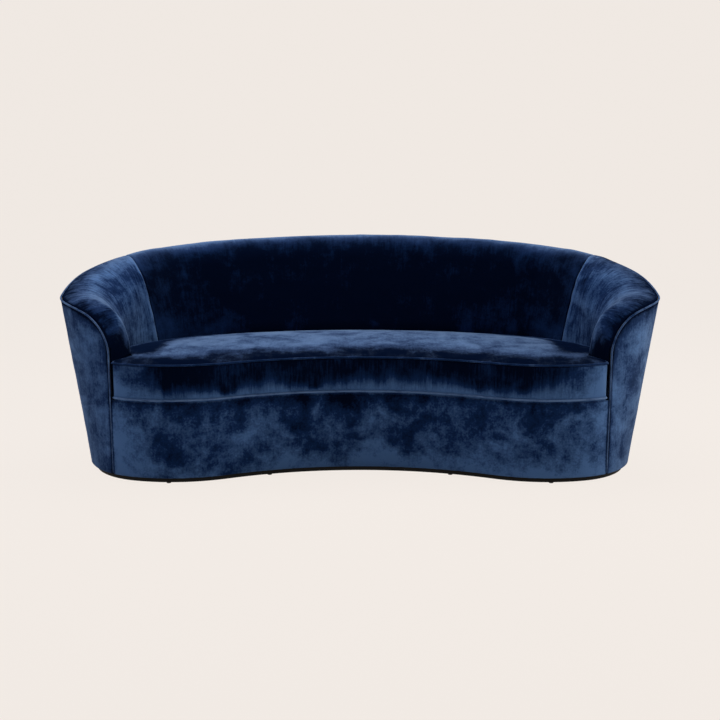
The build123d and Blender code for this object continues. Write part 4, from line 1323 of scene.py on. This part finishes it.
@dataclass
class FrontBorder:
    """Padded border under the cushion, between the two front seams. Bands up it are shares of its height."""

    shell: Shell
    top: float = 303.0
    step: float = 13.0
    rows: int = 30
    seam_gap: float = 0.2
    seam_tuck: float = 4.0
    hem: float = 20.4
    hem_radius: float = 3.0
    hem_angles: tuple[float, ...] = (0.0, 30.0, 60.0, 90.0)
    face_gaps: Pair = (8.0, 5.0)
    top_radius: float = 6.0
    top_angles: tuple[float, ...] = (0.0, 22.0, 45.0, 68.0, 90.0)
    lip: float = 40.0
    belly: float = 2.0
    belly_run: float = 60.0
    hills: Waves = ((0.8, 240.0), (0.3, 60.0))
    seed: int = 91
    lie: float = 0.62
    top_shade: Band = (-0.24, 1.0, 0.12)
    low_light: Band = (0.3, 0.0, 0.2)
    end_light: Band = (0.17, 700.0, 120.0)
    edge_shadow: Band = (-0.8, 0.0, 8.0)
    streaks: Pair = (0.15, 1.0)

    def section(self) -> Array:
        """Section of the border.

        Returns:
            Places as r and z, from the hem over the face to the lip under the cushion.
        """
        low = self.shell.base_z
        above_hem, below_edge = self.face_gaps
        lines = turned_hem(low, self.hem, self.hem_radius, self.hem_angles)
        turn_z = self.top - self.top_radius
        lines += [(0.0, z) for z in np.linspace(low + above_hem, turn_z - below_edge, self.rows)]
        for angle in np.radians(self.top_angles):
            lines.append((self.top_radius * (math.cos(angle) - 1), turn_z + self.top_radius * math.sin(angle)))
        return np.array(lines + [(-self.lip / 2, self.top), (-self.lip, self.top)])

    def build(self, material: bpy.types.Material) -> None:
        """Make the border with its turned hem and its top edge.

        Args:
            material: its velvet.
        """
        plan = self.shell.plan
        first, last = plan.s_seam + self.seam_gap, 2 * plan.s_half - plan.s_seam - self.seam_gap
        s = crowd(first, last, self.step)
        rz = self.section()
        points = plan.at(s[:, None], rz[None, :, 0], rz[None, :, 1])
        seams = np.minimum(s - first, last - s)[:, None]
        height = (rz[None, :, 1] - self.shell.base_z) / (self.top - self.shell.base_z)
        bulge = np.sin(math.pi * np.clip(height, 0, 1))
        move = self.belly * bulge * np.minimum(1.0, seams / self.belly_run)
        move = move + unevenness(points, self.hills, self.seed) * bulge - tuck(seams, self.seam_tuck)
        points = points - grid_normals(points) * move[..., None]
        nap = self.lie + bell(height, *self.top_shade) + bell(height, *self.low_light)
        nap = nap + ramp(np.abs(points[..., 0]), *self.end_light) + bell(seams, *self.edge_shadow)
        piece = mesh_object("front_border", points * MM, grid_faces(*points.shape[:2], flip=True),
                            on_cloth(s[:, None], path_run(rz)[None]), (nap, *self.streaks))
        dress(piece, material, Body.FRAME, "navy_velvet", "front_border_cover", "front_border_pad")


@dataclass
class SeatPlan:
    """Plan of what lies between the arms: the cushion, and with smaller gaps the deck under it."""

    shell: Shell
    clearance: float = 9.0
    tip_gap: float = 3.0
    front_inset: float = 3.0
    welt_gap: float = 4.6
    tip_width: float = 12.6
    deck_z: float = 304.0
    columns: int = 190
    rows: int = 44
    row_crowding: Pair = (0.35, 0.2)
    line_points: int = 400
    tip_angles: Pair = (84.0, 4.0)
    tip_points: int = 40

    def __post_init__(self) -> None:
        """Place the tip, where the front edge meets the back edge."""
        self.tip = self.shell.plan.s_seam + self.welt_gap + self.tip_gap

    def back_line(self, count: int) -> Array:
        """Right half of the back edge, from the middle of the back to the front tip.

        Args:
            count: how many points to give.

        Returns:
            The points in plan, spaced evenly.
        """
        shell, plan = self.shell, self.shell.plan
        nose = plan.s_seam - self.welt_gap - shell.nose_depth
        s = np.linspace(0.0, nose, self.line_points)
        points = plan.at(s, shell.inside(s, np.zeros_like(s)) - self.clearance, 0.0)
        angle = np.radians(np.linspace(*self.tip_angles, self.tip_points))
        q = nose + (self.tip - nose) * np.cos(angle)
        outer = shell.face(q, self.deck_z, shell.edge_depth)
        reach = (outer - shell.inside(q, np.zeros_like(q)) + self.clearance) * np.sin(angle)
        points = np.concatenate([points, plan.at(q, outer - reach, 0.0)])[:, :2]
        return spaced_evenly(points, count)

    def front_line(self, count: int) -> Array:
        """Right half of the front edge, from the middle of the front to its tip, in plan."""
        s = np.linspace(self.shell.plan.s_half, self.tip, self.line_points)
        return spaced_evenly(self.shell.plan.at(s, -self.front_inset, 0.0)[:, :2], count)

    def grid(self) -> Array:
        """Places in plan, with the narrow ends of the tips cut off.

        Returns:
            Columns from tip to tip by rows from front to back, in millimetres.
        """
        half = self.columns // 2
        back, front = self.back_line(half), self.front_line(half)
        least, power = self.row_crowding
        swing = np.cos(math.pi * np.linspace(0, 1, self.rows))
        t = 0.5 - 0.5 * swing * (least + (1 - least) * np.abs(swing) ** power)
        right = front[:, None] + (back - front)[:, None] * t[None, :, None]
        right = right[np.linalg.norm(back - front, axis=1) > self.tip_width]
        return np.concatenate([(right * (-1.0, 1.0))[:0:-1], right])

    def rim(self, grid: Array) -> Array:
        """Closed outline of a grid, front edge first, then round the right tip and back."""
        return np.concatenate([grid[:, 0], grid[-1, 1:], grid[-2::-1, -1], grid[0, -2:0:-1]])


@dataclass(frozen=True)
class CushionNapAndPaintedLight:
    """How the cushion's pile lies, with painted light and shade: painted shade along the front roll, on the
    upper boxing and where the top meets the back and the arms, painted light on top and low down.

    A band is a height, a start and a run, or for back_shade a height, a middle and a width.
    """

    top_streaks: Pair = (0.16, 0.78)
    # Painted shade on the front roll and painted light over the top.
    front_roll_shade: float = 0.06
    top_light_lie: float = 0.6
    roll: Band = (1.0, 10.0, 150.0)
    back_shade: Band = (-0.5, 0.0, 60.0)
    back_shade_ends: Band = (1.0, 520.0, 160.0)
    arm_shade_out: Band = (-0.75, 715.0, 60.0)
    arm_shade_back: Band = (1.0, 110.0, 80.0)
    tip_light: Band = (0.3, 825.0, 40.0)
    bottom_lie: float = 0.55
    wall_lie: float = 0.22
    wall_light: float = 0.7
    wall_reach: float = 0.34
    wall_reach_limits: Pair = (0.1, 0.6)
    wall_waves: tuple[tuple[float, float, int], ...] = ((0.09, 150.0, 21), (0.04, 40.0, 22))
    wall_ends: Band = (1.0, 700.0, 90.0)
    wall_end_light: float = 0.42
    wall_end_dim: float = 0.5
    wall_end_fall: float = 0.3
    wall_tip_light: Band = (0.2, 800.0, 80.0)
    wall_streaks: Pair = (0.45, -0.25)
    wall_clouds: Pair = (0.4, 0.4)

    def top(self, columns: Array) -> Array:
        """Lean of the pile on the top panel, with painted shade on the front roll, at the back of the far ends
        and by the arms, and painted light over the top and at the tips.

        Args:
            columns: grid of its places, columns by rows.

        Returns:
            One lean per place.
        """
        from_front = np.linalg.norm(columns[..., :2] - columns[:, :1, :2], axis=2)
        to_back = np.linalg.norm(columns[..., :2] - columns[:, -1:, :2], axis=2)
        out = np.abs(columns[..., 0])
        # Painted shade on the front roll, painted light over the top.
        lie = self.front_roll_shade + self.top_light_lie * ease(ramp(from_front, *self.roll))
        lie = lie + ramp(out, *self.back_shade_ends) * bell(to_back, *self.back_shade)
        lie = lie + ramp(out, *self.arm_shade_out) * ramp(from_front, *self.arm_shade_back)
        return lie + ramp(out, *self.tip_light)

    def wall(self, verts: Array, height: Array) -> tuple[Array, Array, Array]:
        """Pile of the boxing, its lean holding painted shade above and painted light low down and on the ends.

        Args:
            verts: its places.
            height: share of its height at each place.

        Returns:
            Per place, the lean, how streaky and how cloudy it is.
        """
        out = np.abs(verts[:, 0])
        level = verts * (1.0, 1.0, 0.0)
        ends = ramp(out, *self.wall_ends)
        reach = self.wall_reach + sum(much * ripple(level, size, seed) for much, size, seed in self.wall_waves)
        # Painted light low on the boxing, reaching up unevenly, and more of it on the ends.
        low = np.exp(-(height / np.clip(reach, *self.wall_reach_limits)) ** 2)
        lie = self.wall_lie + self.wall_light * low * (1 - self.wall_end_dim * ends)
        lie = lie + self.wall_end_light * ends * (1 - self.wall_end_fall * height)
        lie = lie + ramp(out, *self.wall_tip_light)
        streaky, cloudy = (start + change * ends for start, change in (self.wall_streaks, self.wall_clouds))
        return lie, streaky, cloudy


@dataclass
class SeatCushion:
    """Loose seat cushion: crowned top panel, boxed sides, a welt round both edges, a zip at the back."""

    seat: SeatPlan
    nap: CushionNapAndPaintedLight = CushionNapAndPaintedLight()
    low: float = 315.0
    high: float = 443.0
    bottom: float = 304.6
    walls: int = 14
    start_crown: float = 15.0
    crown_run: float = 105.0
    end_crown: Band = (0.8, 500.0, 200.0)
    puff: float = 14.0
    side_puff: float = 5.0
    quick_puff: float = 12.0
    frames: int = 20
    zip_half: float = 520.0
    zip_ease: float = 100.0
    zip_behind: float = 450.0
    zip_calm: float = 0.88
    hills: Waves = ((1.0, 210.0), (0.4, 60.0))
    hill_seed: int = 5
    hill_full: float = 4.0
    wall_hills: float = 0.7
    creases: tuple[Pair, ...] = ((-1.8, 6.0), (-0.9, 210.0), (-1.1, -330.0), (-0.8, 545.0))
    crease_width: float = 5.0
    crease_before: float = 330.0
    welt: float = 7.0
    welt_sunk: float = 1.2
    welt_points: int = 900
    welt_smoothing: int = 3
    # The bottom cord gets a stronger painted highlight than the top one.
    welt_lies: Pair = (0.46, 0.95)

    def simulate(self, piece: bpy.types.Object, pinned: Array) -> Array:
        """Blow the sewn case up with its seams held.

        Args:
            piece: the case.
            pinned: per vertex, whether a seam or the deck holds it.

        Returns:
            How far each vertex moved, in metres.
        """
        count = len(piece.data.vertices)
        rest = np.zeros(count * 3)
        piece.data.vertices.foreach_get("co", rest)
        group = piece.vertex_groups.new(name="held")
        group.add([int(i) for i in np.nonzero(pinned)[0]], 1.0, "REPLACE")
        cloth = piece.modifiers.new("inflate", "CLOTH")
        settings = cloth.settings
        settings.quality = 5
        settings.mass = 0.4
        settings.tension_stiffness = settings.compression_stiffness = 8.0
        settings.shear_stiffness = 4.0
        settings.bending_stiffness = 1.2
        settings.vertex_group_mass = "held"
        settings.use_pressure = True
        settings.uniform_pressure_force = 2.0
        settings.effector_weights.gravity = 0.0
        cloth.collision_settings.use_collision = False
        cloth.point_cache.frame_start = 1
        cloth.point_cache.frame_end = self.frames
        scene = bpy.context.scene
        for frame_number in range(1, self.frames + 1):
            scene.frame_set(frame_number)
        moved = np.zeros(count * 3)
        piece.evaluated_get(bpy.context.evaluated_depsgraph_get()).data.vertices.foreach_get("co", moved)
        piece.modifiers.clear()
        piece.vertex_groups.clear()
        scene.frame_set(1)
        return (moved - rest).reshape(-1, 3)

    def case(self, material: bpy.types.Material) -> None:
        """Sewn case of top panel, boxing and bottom panel, blown up and creased.

        Args:
            material: its velvet.
        """
        grid = self.seat.grid()
        n, m = grid.shape[:2]
        to_front = np.linalg.norm(grid - grid[:, :1], axis=2)
        inward = np.minimum(to_front, np.linalg.norm(grid - grid[:, -1:], axis=2))
        run = self.crown_run * (1 + ramp(np.abs(grid[..., 0]), *self.end_crown))
        dome = np.sqrt(1 - (1 - np.clip(inward / run, 0, 1)) ** 2)
        top = np.concatenate([grid, (self.high + self.start_crown * dome)[..., None]], -1)
        floor = np.concatenate([grid, np.full((n, m, 1), self.bottom)], -1)
        rim = self.seat.rim(grid)
        k = len(rim)
        levels = np.linspace(self.high, self.low, self.walls + 2)[1:]
        rings = [np.concatenate([rim, np.full((k, 1), z)], -1) for z in levels]
        verts = np.concatenate([top.reshape(-1, 3), *rings, floor.reshape(-1, 3)])
        top_rim = self.seat.rim(np.arange(n * m).reshape(n, m, 1))[:, 0]
        base = n * m + len(levels) * k
        wall = [top_rim, *(n * m + i * k + np.arange(k) for i in range(len(levels))), base + top_rim]
        faces = grid_faces(n, m) + grid_faces(n, m, flip=True, start=base)
        for a, b in zip(wall, wall[1:]):
            faces += np.stack([a, b, np.roll(b, -1), np.roll(a, -1)], -1).tolist()
        on_wall = on_cloth(path_run(rim)[None], levels[:, None]).reshape(-1, 2)
        on_panel = grid.reshape(-1, 2) * MM
        uv = np.concatenate([on_panel, on_wall, on_panel])
        piece = mesh_object("seat_cushion_case", verts * MM, faces, uv, self.pile(verts, n * m, base))
        pinned = np.zeros(len(verts), bool)
        pinned[top_rim] = True
        pinned[n * m + self.walls * k:] = True
        move = self.simulate(piece, pinned) / MM
        self.shape(piece, verts, move, slice(0, n * m), slice(n * m, n * m + self.walls * k))
        smooth = piece.modifiers.new("smooth", "SUBSURF")
        smooth.levels = smooth.render_levels = 1
        dress(piece, material, Body.CUSHION, "navy_velvet", "cushion_core", "cushion_top_panel",
              "cushion_bottom_panel", "cushion_boxing", "cushion_zip_boxing")

    def pile(self, verts: Array, top: int, base: int) -> tuple[Array, Array, Array]:
        """How the pile of the whole case lies, painted light and shade included.

        Args:
            verts: its places in millimetres.
            top: number of places of the top panel.
            base: number of the first place of the bottom panel.

        Returns:
            Per place, its lean to the light, how streaky and how cloudy it is.
        """
        shares = (self.nap.bottom_lie, *self.nap.top_streaks)
        lie, streaky, cloudy = (np.full(len(verts), share) for share in shares)
        lie[:top] = self.nap.top(verts[:top].reshape(-1, self.seat.rows, 3)).ravel()
        wall = slice(top, base)
        height = (verts[wall, 2] - self.low) / (self.high - self.low)
        lie[wall], streaky[wall], cloudy[wall] = self.nap.wall(verts[wall], height)
        return lie, streaky, cloudy

    def shape(self, piece: bpy.types.Object, verts: Array, move: Array, top: slice, wall: slice) -> None:
        """Scale the blown-up shape to the real crown, and add the creases that sewing leaves.

        Args:
            piece: the case.
            verts: its places before blowing up, in millimetres.
            move: how far each place moved, in millimetres.
            top: the places of the top panel.
            wall: the free places of the boxing.
        """
        for part, most in ((top, self.puff), (wall, self.side_puff)):
            move[part] *= most / max(1e-6, np.abs(move[part]).max())
        x, y = verts[wall, 0], verts[wall, 1] - self.seat.shell.plan.shift
        at_zip = ramp(-np.abs(x), 1.0, -self.zip_half, self.zip_ease) * (y > self.zip_behind)
        move[wall] *= (1 - self.zip_calm * at_zip)[:, None]
        share = np.minimum(1.0, np.linalg.norm(move, axis=1) / self.hill_full)
        relief = unevenness(verts, self.hills, self.hill_seed)
        crease = sum(bell(x, depth, middle, self.crease_width) for depth, middle in self.creases)
        crease = crease * (y < self.crease_before)
        lift = np.zeros_like(verts)
        lift[top, 2] = (relief * share)[top]
        lift[wall] = unit(move[wall]) * ((relief[wall] * self.wall_hills + crease) * share[wall])[:, None]
        piece.data.vertices.foreach_set("co", ((verts + move + lift) * MM).astype(np.float32).ravel())
        piece.data.update()

    def welts(self, material: bpy.types.Material) -> None:
        """Cord round the top and the bottom edge.

        Args:
            material: its velvet.
        """
        rim = self.seat.rim(self.seat.grid())
        rim = spaced_evenly(np.concatenate([rim, rim[:1]]), self.welt_points)[:-1]
        along = unit(np.roll(rim, -self.welt_smoothing, 0) - np.roll(rim, self.welt_smoothing, 0))
        centre = rim + np.stack([along[:, 1], -along[:, 0]], -1) * (self.welt / 2 - self.welt_sunk)
        for name, z, lie in zip(("top", "bottom"), (self.high, self.low), self.welt_lies):
            path = np.concatenate([centre, np.full((len(rim), 1), z)], -1)
            piece = Piping(self.welt / 2, lie).lay(f"seat_cushion_welt_{name}", path, closed=True)
            dress(piece, material, Body.CUSHION, "navy_velvet_cord", f"cushion_welt_{name}")

    def build(self, velvet: bpy.types.Material, cord: bpy.types.Material) -> None:
        """Case and welts.

        Args:
            velvet: finish of the case.
            cord: finish of the welts.
        """
        self.case(velvet)
        self.welts(cord)


@dataclass
class SeatDeck:
    """Platform under the cushion: deck cloth on the springs, with a velvet strip sewn along its front."""

    seat: SeatPlan
    top: float = 304.2
    sag: float = 3.0
    sag_runs: Pair = (160.0, 120.0)
    spring_gap: float = 140.0
    spring_lift: float = 0.35
    strip: float = 110.0
    strip_seam: Pair = (1.2, 3.0)
    edge_tuck: float = 3.0

    def build(self, cloth: bpy.types.Material, velvet: bpy.types.Material) -> None:
        """Make the platform.

        Args:
            cloth: finish of the platform.
            velvet: finish of the front strip.
        """
        grid = self.seat.grid()
        from_front = np.linalg.norm(grid - grid[:, :1], axis=2)
        to_back = np.linalg.norm(grid - grid[:, -1:], axis=2)
        springs = 0.5 + 0.5 * np.cos(grid[..., 0] * (FULL_TURN / self.spring_gap))
        front_run, back_run = self.sag_runs
        dish = self.sag * np.clip(from_front / front_run, 0, 1) * np.clip(to_back / back_run, 0, 1)
        seam_depth, seam_width = self.strip_seam
        seam = bell(from_front, seam_depth, self.strip, seam_width)
        z = self.top - dish * (1.0 - self.spring_lift * springs) - seam
        z = z - tuck(from_front, self.edge_tuck) - tuck(to_back, self.edge_tuck)
        points = np.concatenate([grid, z[..., None]], -1)
        piece = mesh_object("seat_deck", points * MM, grid_faces(*grid.shape[:2]), grid * MM)
        piece.data.materials.append(cloth)
        dress(piece, velvet, Body.FRAME, "deck_cloth", "deck_cover", "deck_felt")
        front = (from_front[:-1, :-1] + from_front[1:, 1:]) / 2 < self.strip
        piece.data.polygons.foreach_set("material_index", front.ravel().astype(np.int32))


@dataclass
class Underside:
    """Black cambric stapled under the frame, inside the plinth."""

    shell: Shell
    inset: float = 39.0
    z: float = 23.4
    middle_y: float = 440.0
    points_round: int = 260
    rings: int = 15
    sag: float = 2.5
    sag_power: int = 3
    sag_waves: Waves = ((0.3, 300.0),)
    seed: int = 15
    staple: Pair = (10.0, 0.7)
    staple_gap: float = 70.0
    staple_inset: float = 8.0
    staple_sunk: float = 0.6
    staple_proud: float = 0.8

    def ring(self, inset: float, count: int) -> Array:
        """Points round the base outline, drawn in by an inset."""
        s = np.linspace(0, 2 * self.shell.plan.s_half, count, endpoint=False)
        return self.shell.plan.at(s, -inset, self.z)

    def build(self, cloth: bpy.types.Material, steel: bpy.types.Material) -> None:
        """Make the cloth and its staples.

        Args:
            cloth: finish of the cambric.
            steel: finish of the staples.
        """
        edge = self.ring(self.inset, self.points_round)
        middle = np.array([0.0, self.shell.plan.shift + self.middle_y, self.z])
        share = np.linspace(0.0, 1.0, self.rings + 1)[1:]
        points = middle + (edge - middle)[:, None] * share[None, :, None]
        uneven = 1 + unevenness(points, self.sag_waves, self.seed)
        points[..., 2] -= self.sag * (1 - share[None] ** self.sag_power) * uneven
        points = np.concatenate([points, points[:1]])
        n, m = points.shape[:2]
        fan = [[(i + 1) * m, i * m, n * m] for i in range(n - 1)]
        verts = np.concatenate([points.reshape(-1, 3), middle[None] - (0.0, 0.0, self.sag)])
        piece = mesh_object("underside_cambric", verts * MM, grid_faces(n, m) + fan)
        dress(piece, cloth, Body.FRAME, "black_cambric", "dust_cover")
        self.staples(steel)

    def staples(self, steel: bpy.types.Material) -> None:
        """Row of staples along the edge of the cambric.

        Args:
            steel: their finish.
        """
        length, wire = self.staple
        count = int(2 * self.shell.plan.s_half / self.staple_gap)
        ring = self.ring(self.inset + self.staple_inset, count)
        along = unit(np.roll(ring, -1, 0) - np.roll(ring, 1, 0))
        side = np.cross(along, (0.0, 0.0, 1.0))
        low, high = -self.staple_proud * wire, self.staple_sunk * wire
        corners = []
        for a in (-length / 2, length / 2):
            for b, z in ((-wire / 2, low), (wire / 2, low), (wire / 2, high), (-wire / 2, high)):
                corners.append(ring + along * a + side * b + np.array((0.0, 0.0, z)))
        verts = np.stack(corners, 1)
        box = np.array([(0, 1, 2, 3), (7, 6, 5, 4), (0, 4, 5, 1), (1, 5, 6, 2), (2, 6, 7, 3), (3, 7, 4, 0)])
        faces = (np.arange(count)[:, None, None] * verts.shape[1] + box[None]).reshape(-1, 4).tolist()
        piece = mesh_object("cambric_staples", verts * MM, faces)
        dress(piece, steel, Body.FRAME, "zinc_steel")


@dataclass(frozen=True)
class Casting:
    """One part of the slider: its outline along and up the tape, its lowest and highest r, its rounded rim."""

    outline: tuple[Pair, ...]
    low: float
    high: float
    rim: float


@dataclass
class CushionZip:
    """Zip across the back of the cushion: woven tape, a nylon coil and a slider with its pull."""

    shell: Shell
    face: float = -82.7
    z: float = 379.0
    half_run: float = 320.0
    half_width: float = 14.0
    tape_columns: int = 160
    tape_rows: tuple[float, ...] = (-1.0, -0.6, -0.2, -0.12, 0.12, 0.2, 0.6, 1.0)
    tape_rise: tuple[float, ...] = (-0.5, 0.0, 0.1, 0.3, 0.3, 0.1, 0.0, -0.5)
    tape_flat: float = 2.1
    coil: float = 2.2
    coil_flat: Pair = (0.25, 0.5)
    coil_points: int = 9
    coil_rib: float = 0.22
    pitch: float = 2.0
    pitch_steps: int = 6
    slider_at: float = 300.0
    slider_size: float = 3.5
    castings: tuple[Casting, ...] = (
        Casting(((-6.0, -3.4), (-2.0, -4.8), (4.5, -4.8), (6.5, -3.0), (6.5, 3.0), (4.5, 4.8), (-2.0, 4.8),
                 (-6.0, 3.4)), 0.9, 2.3, 0.5),
        Casting(((-3.0, -1.0), (3.0, -1.0), (3.0, 1.0), (-3.0, 1.0)), 2.2, 3.3, 0.3),
        Casting(((-2.6, 3.0), (2.6, 3.0), (2.6, -8.0), (1.6, -9.6), (-1.6, -9.6), (-2.6, -8.0)),
                3.0, 3.9, 0.3))

    def tape(self, cloth: bpy.types.Material) -> None:
        """Tape in two halves, and the coil between them.

        Args:
            cloth: finish of both.
        """
        plan = self.shell.plan
        s = np.linspace(-self.half_run, self.half_run, self.tape_columns)[:, None]
        z = (self.z + np.array(self.tape_rows) * self.half_width)[None]
        points = plan.at(s, self.face + np.array(self.tape_rise)[None], z)
        faces = grid_faces(*points.shape[:2], flip=True)
        piece = mesh_object("zip_tape_halves", points * MM, faces, on_cloth(s, z))
        dress(piece, cloth, Body.CUSHION, "zip_tape", "zip_tape")
        s = np.arange(-self.half_run, self.half_run, self.pitch / self.pitch_steps)[:, None]
        turn = np.linspace(-QUARTER_TURN, QUARTER_TURN, self.coil_points)[None]
        rib = self.coil * (1.0 + self.coil_rib * np.sin(s * (FULL_TURN / self.pitch)))
        lift, flat = self.coil_flat
        r = self.face + lift * self.coil + flat * rib * np.cos(turn)
        points = plan.at(s, r, self.z + rib * np.sin(turn))
        piece = mesh_object("zip_coil", points * MM, grid_faces(*points.shape[:2], flip=True))
        dress(piece, cloth, Body.CUSHION, "zip_tape")

    def slider(self, metal: bpy.types.Material) -> None:
        """Slider body, bridge and pull tab.

        Args:
            metal: their finish.
        """
        verts, faces = [], []
        for part in self.castings:
            start, count = len(verts), len(part.outline)
            outline = np.array(part.outline)
            middle = outline.mean(0)
            rim = 1 - part.rim / self.slider_size
            for r, shrink in ((part.low, 1.0), (part.high - part.rim, 1.0), (part.high, rim)):
                for x, y in middle + (outline - middle) * shrink:
                    verts.append(self.shell.plan.at(self.slider_at + x, self.face + r, self.z + y))
            faces += grid_faces(3, count, flip=True, ring=True, start=start)
            faces.append([start + 2 * count + k for k in range(count)])
        piece = mesh_object("zip_slider_and_pull", np.array(verts) * MM, faces)
        dress(piece, metal, Body.PULL, "zip_metal", "zip_slider")

    def build(self, cloth: bpy.types.Material, metal: bpy.types.Material) -> None:
        """Tape, coil and slider.

        Args:
            cloth: finish of the tape and coil.
            metal: finish of the slider.
        """
        self.tape(cloth)
        self.slider(metal)


@dataclass(frozen=True)
class Softbox:
    """Rectangular soft lamp. Its place, what it faces and its width and height are in metres."""

    name: str
    place: Band
    target: Band
    size: Pair
    watts: float
    tint: str

    def hang(self) -> None:
        """Add the lamp to the scene."""
        data = bpy.data.lights.new(self.name, "AREA")
        data.shape = "RECTANGLE"
        data.size, data.size_y = self.size
        data.energy = self.watts
        data.color = linear(self.tint)[:3]
        made = bpy.data.objects.new(self.name, data)
        made.location = self.place
        made.rotation_euler = (Vector(self.target) - Vector(self.place)).to_track_quat("-Z", "Y").to_euler()
        bpy.context.scene.collection.objects.link(made)


LAMPS = (Softbox("key_softbox", (3.2, -0.5, 1.5), (0.6, 0.0, 0.4), (1.8, 1.6), 60.0, "FFF8F0"),
         Softbox("fill_softbox", (-3.1, -0.5, 1.9), (-0.5, 0.0, 0.4), (1.6, 1.6), 20.0, "F0F4FF"),
         Softbox("overhead_softbox", (-0.4, 0.5, 3.0), (-0.1, 0.0, 0.4), (3.6, 2.0), 80.0, "FBFBFF"))


@dataclass
class Stage:
    """Pale sweep, soft studio lamps and the camera at the photograph's place. The sweep is in metres."""

    plan: Outline
    half_width: float = 9.0
    columns: int = 9
    floor: tuple[float, ...] = (-9.0, -3.0, 0.0, 4.0)
    bend: float = 2.0
    bend_angles: tuple[float, ...] = (15.0, 30.0, 45.0, 60.0, 75.0, 90.0)
    height: float = 7.0
    air: str = "F0E9E3"
    air_light: float = 0.14
    camera_distance: float = 4000.0
    camera_height: float = 1300.0
    pitch_deg: float = 11.8
    focal_px: float = 1150.0
    frame_px: float = 720.0
    sensor_mm: float = 36.0

    def sweep(self, material: bpy.types.Material) -> None:
        """Floor that turns up into a backdrop far behind the sofa.

        Args:
            material: its paper.
        """
        end = self.floor[-1]
        profile = [(y, 0.0) for y in self.floor]
        for angle in np.radians(self.bend_angles):
            profile.append((end + self.bend * math.sin(angle), self.bend * (1 - math.cos(angle))))
        profile.append((end + self.bend, self.height))
        x = np.linspace(-self.half_width, self.half_width, self.columns)
        points = np.array([[(u, y, z) for u in x] for y, z in profile])
        piece = mesh_object("studio_sweep", points, grid_faces(len(profile), len(x), flip=True))
        piece.data.materials.append(material)

    def light(self) -> None:
        """Soft key from the right, a weaker fill from the left, a wide lamp overhead and pale air."""
        world = bpy.data.worlds.new("studio_air")
        world.use_nodes = True
        tree = world.node_tree
        back = tree.nodes["Background"]
        ray = add_node(tree, "LightPath")
        strength = add_node(tree, "MapRange", {"Value": ray.outputs["Is Camera Ray"], "To Min": self.air_light,
                                               "To Max": 1.0})
        back.inputs["Color"].default_value = linear(self.air)
        tree.links.new(strength.outputs["Result"], back.inputs["Strength"])
        bpy.context.scene.world = world
        for lamp in LAMPS:
            lamp.hang()

    def shoot(self) -> None:
        """Camera in front of the sofa, a little above it, looking slightly down."""
        data = bpy.data.cameras.new("photo_camera")
        data.sensor_width = self.sensor_mm
        data.lens = self.sensor_mm * self.focal_px / self.frame_px
        made = bpy.data.objects.new("photo_camera", data)
        made.location = (0.0, (self.plan.shift - self.camera_distance) * MM, self.camera_height * MM)
        made.rotation_euler = (math.radians(90.0 - self.pitch_deg), 0.0, 0.0)
        bpy.context.scene.collection.objects.link(made)
        bpy.context.scene.camera = made
        bpy.context.scene.view_settings.view_transform = "Standard"


def finish_frame(frame: dict) -> dict[str, bpy.types.Material]:
    """Give every CAD node that stays in sight its own finish.


    Returns:
        The finishes by material slot.
    """
    made: dict[str, bpy.types.Material] = {}
    for row in frame["record"]["subparts"]:
        slot = row["material_slot"]
        if slot not in FINISHES:
            continue
        if slot not in made:
            made[slot] = FINISHES[slot].build()
        data = frame["nodes"][row["node"]].data
        data.materials.clear()
        data.materials.append(made[slot])
        LOG.info("%s finished as %s", row["node"], made[slot].name)
    return made


def main() -> None:
    """Build the sofa's looks round the CAD frame."""
    logging.basicConfig(level=logging.INFO, format="%(name)s %(message)s")
    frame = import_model()
    plan = Outline()
    shell = Shell(plan)
    velvet, cord = VELVET.build(), CORD_WITH_PAINTED_HIGHLIGHT.build()
    made = finish_frame(frame)
    inside = InsideUpholstery(shell)
    inside.back(velvet)
    for side in Side:
        inside.arm(side, velvet)
    OutsidePanels(shell).build(velvet)
    ShellWelt(shell).build(cord)
    FrontBorder(shell).build(velvet)
    SeatCushion(SeatPlan(shell)).build(velvet, cord)
    deck_plan = SeatPlan(shell, clearance=1.5, tip_gap=1.5, front_inset=1.0, tip_width=7.2)
    SeatDeck(deck_plan).build(made["deck_cloth"], velvet)
    Underside(shell).build(made["black_cambric"], made["zinc_steel"])
    CushionZip(shell).build(made["zip_tape"], made["zip_metal"])
    stage = Stage(plan)
    stage.sweep(Studio("backdrop_paper", "F3ECE6", "F3ECE6", roughness=0.95).build())
    stage.light()
    stage.shoot()


if __name__ == "__main__":
    main()
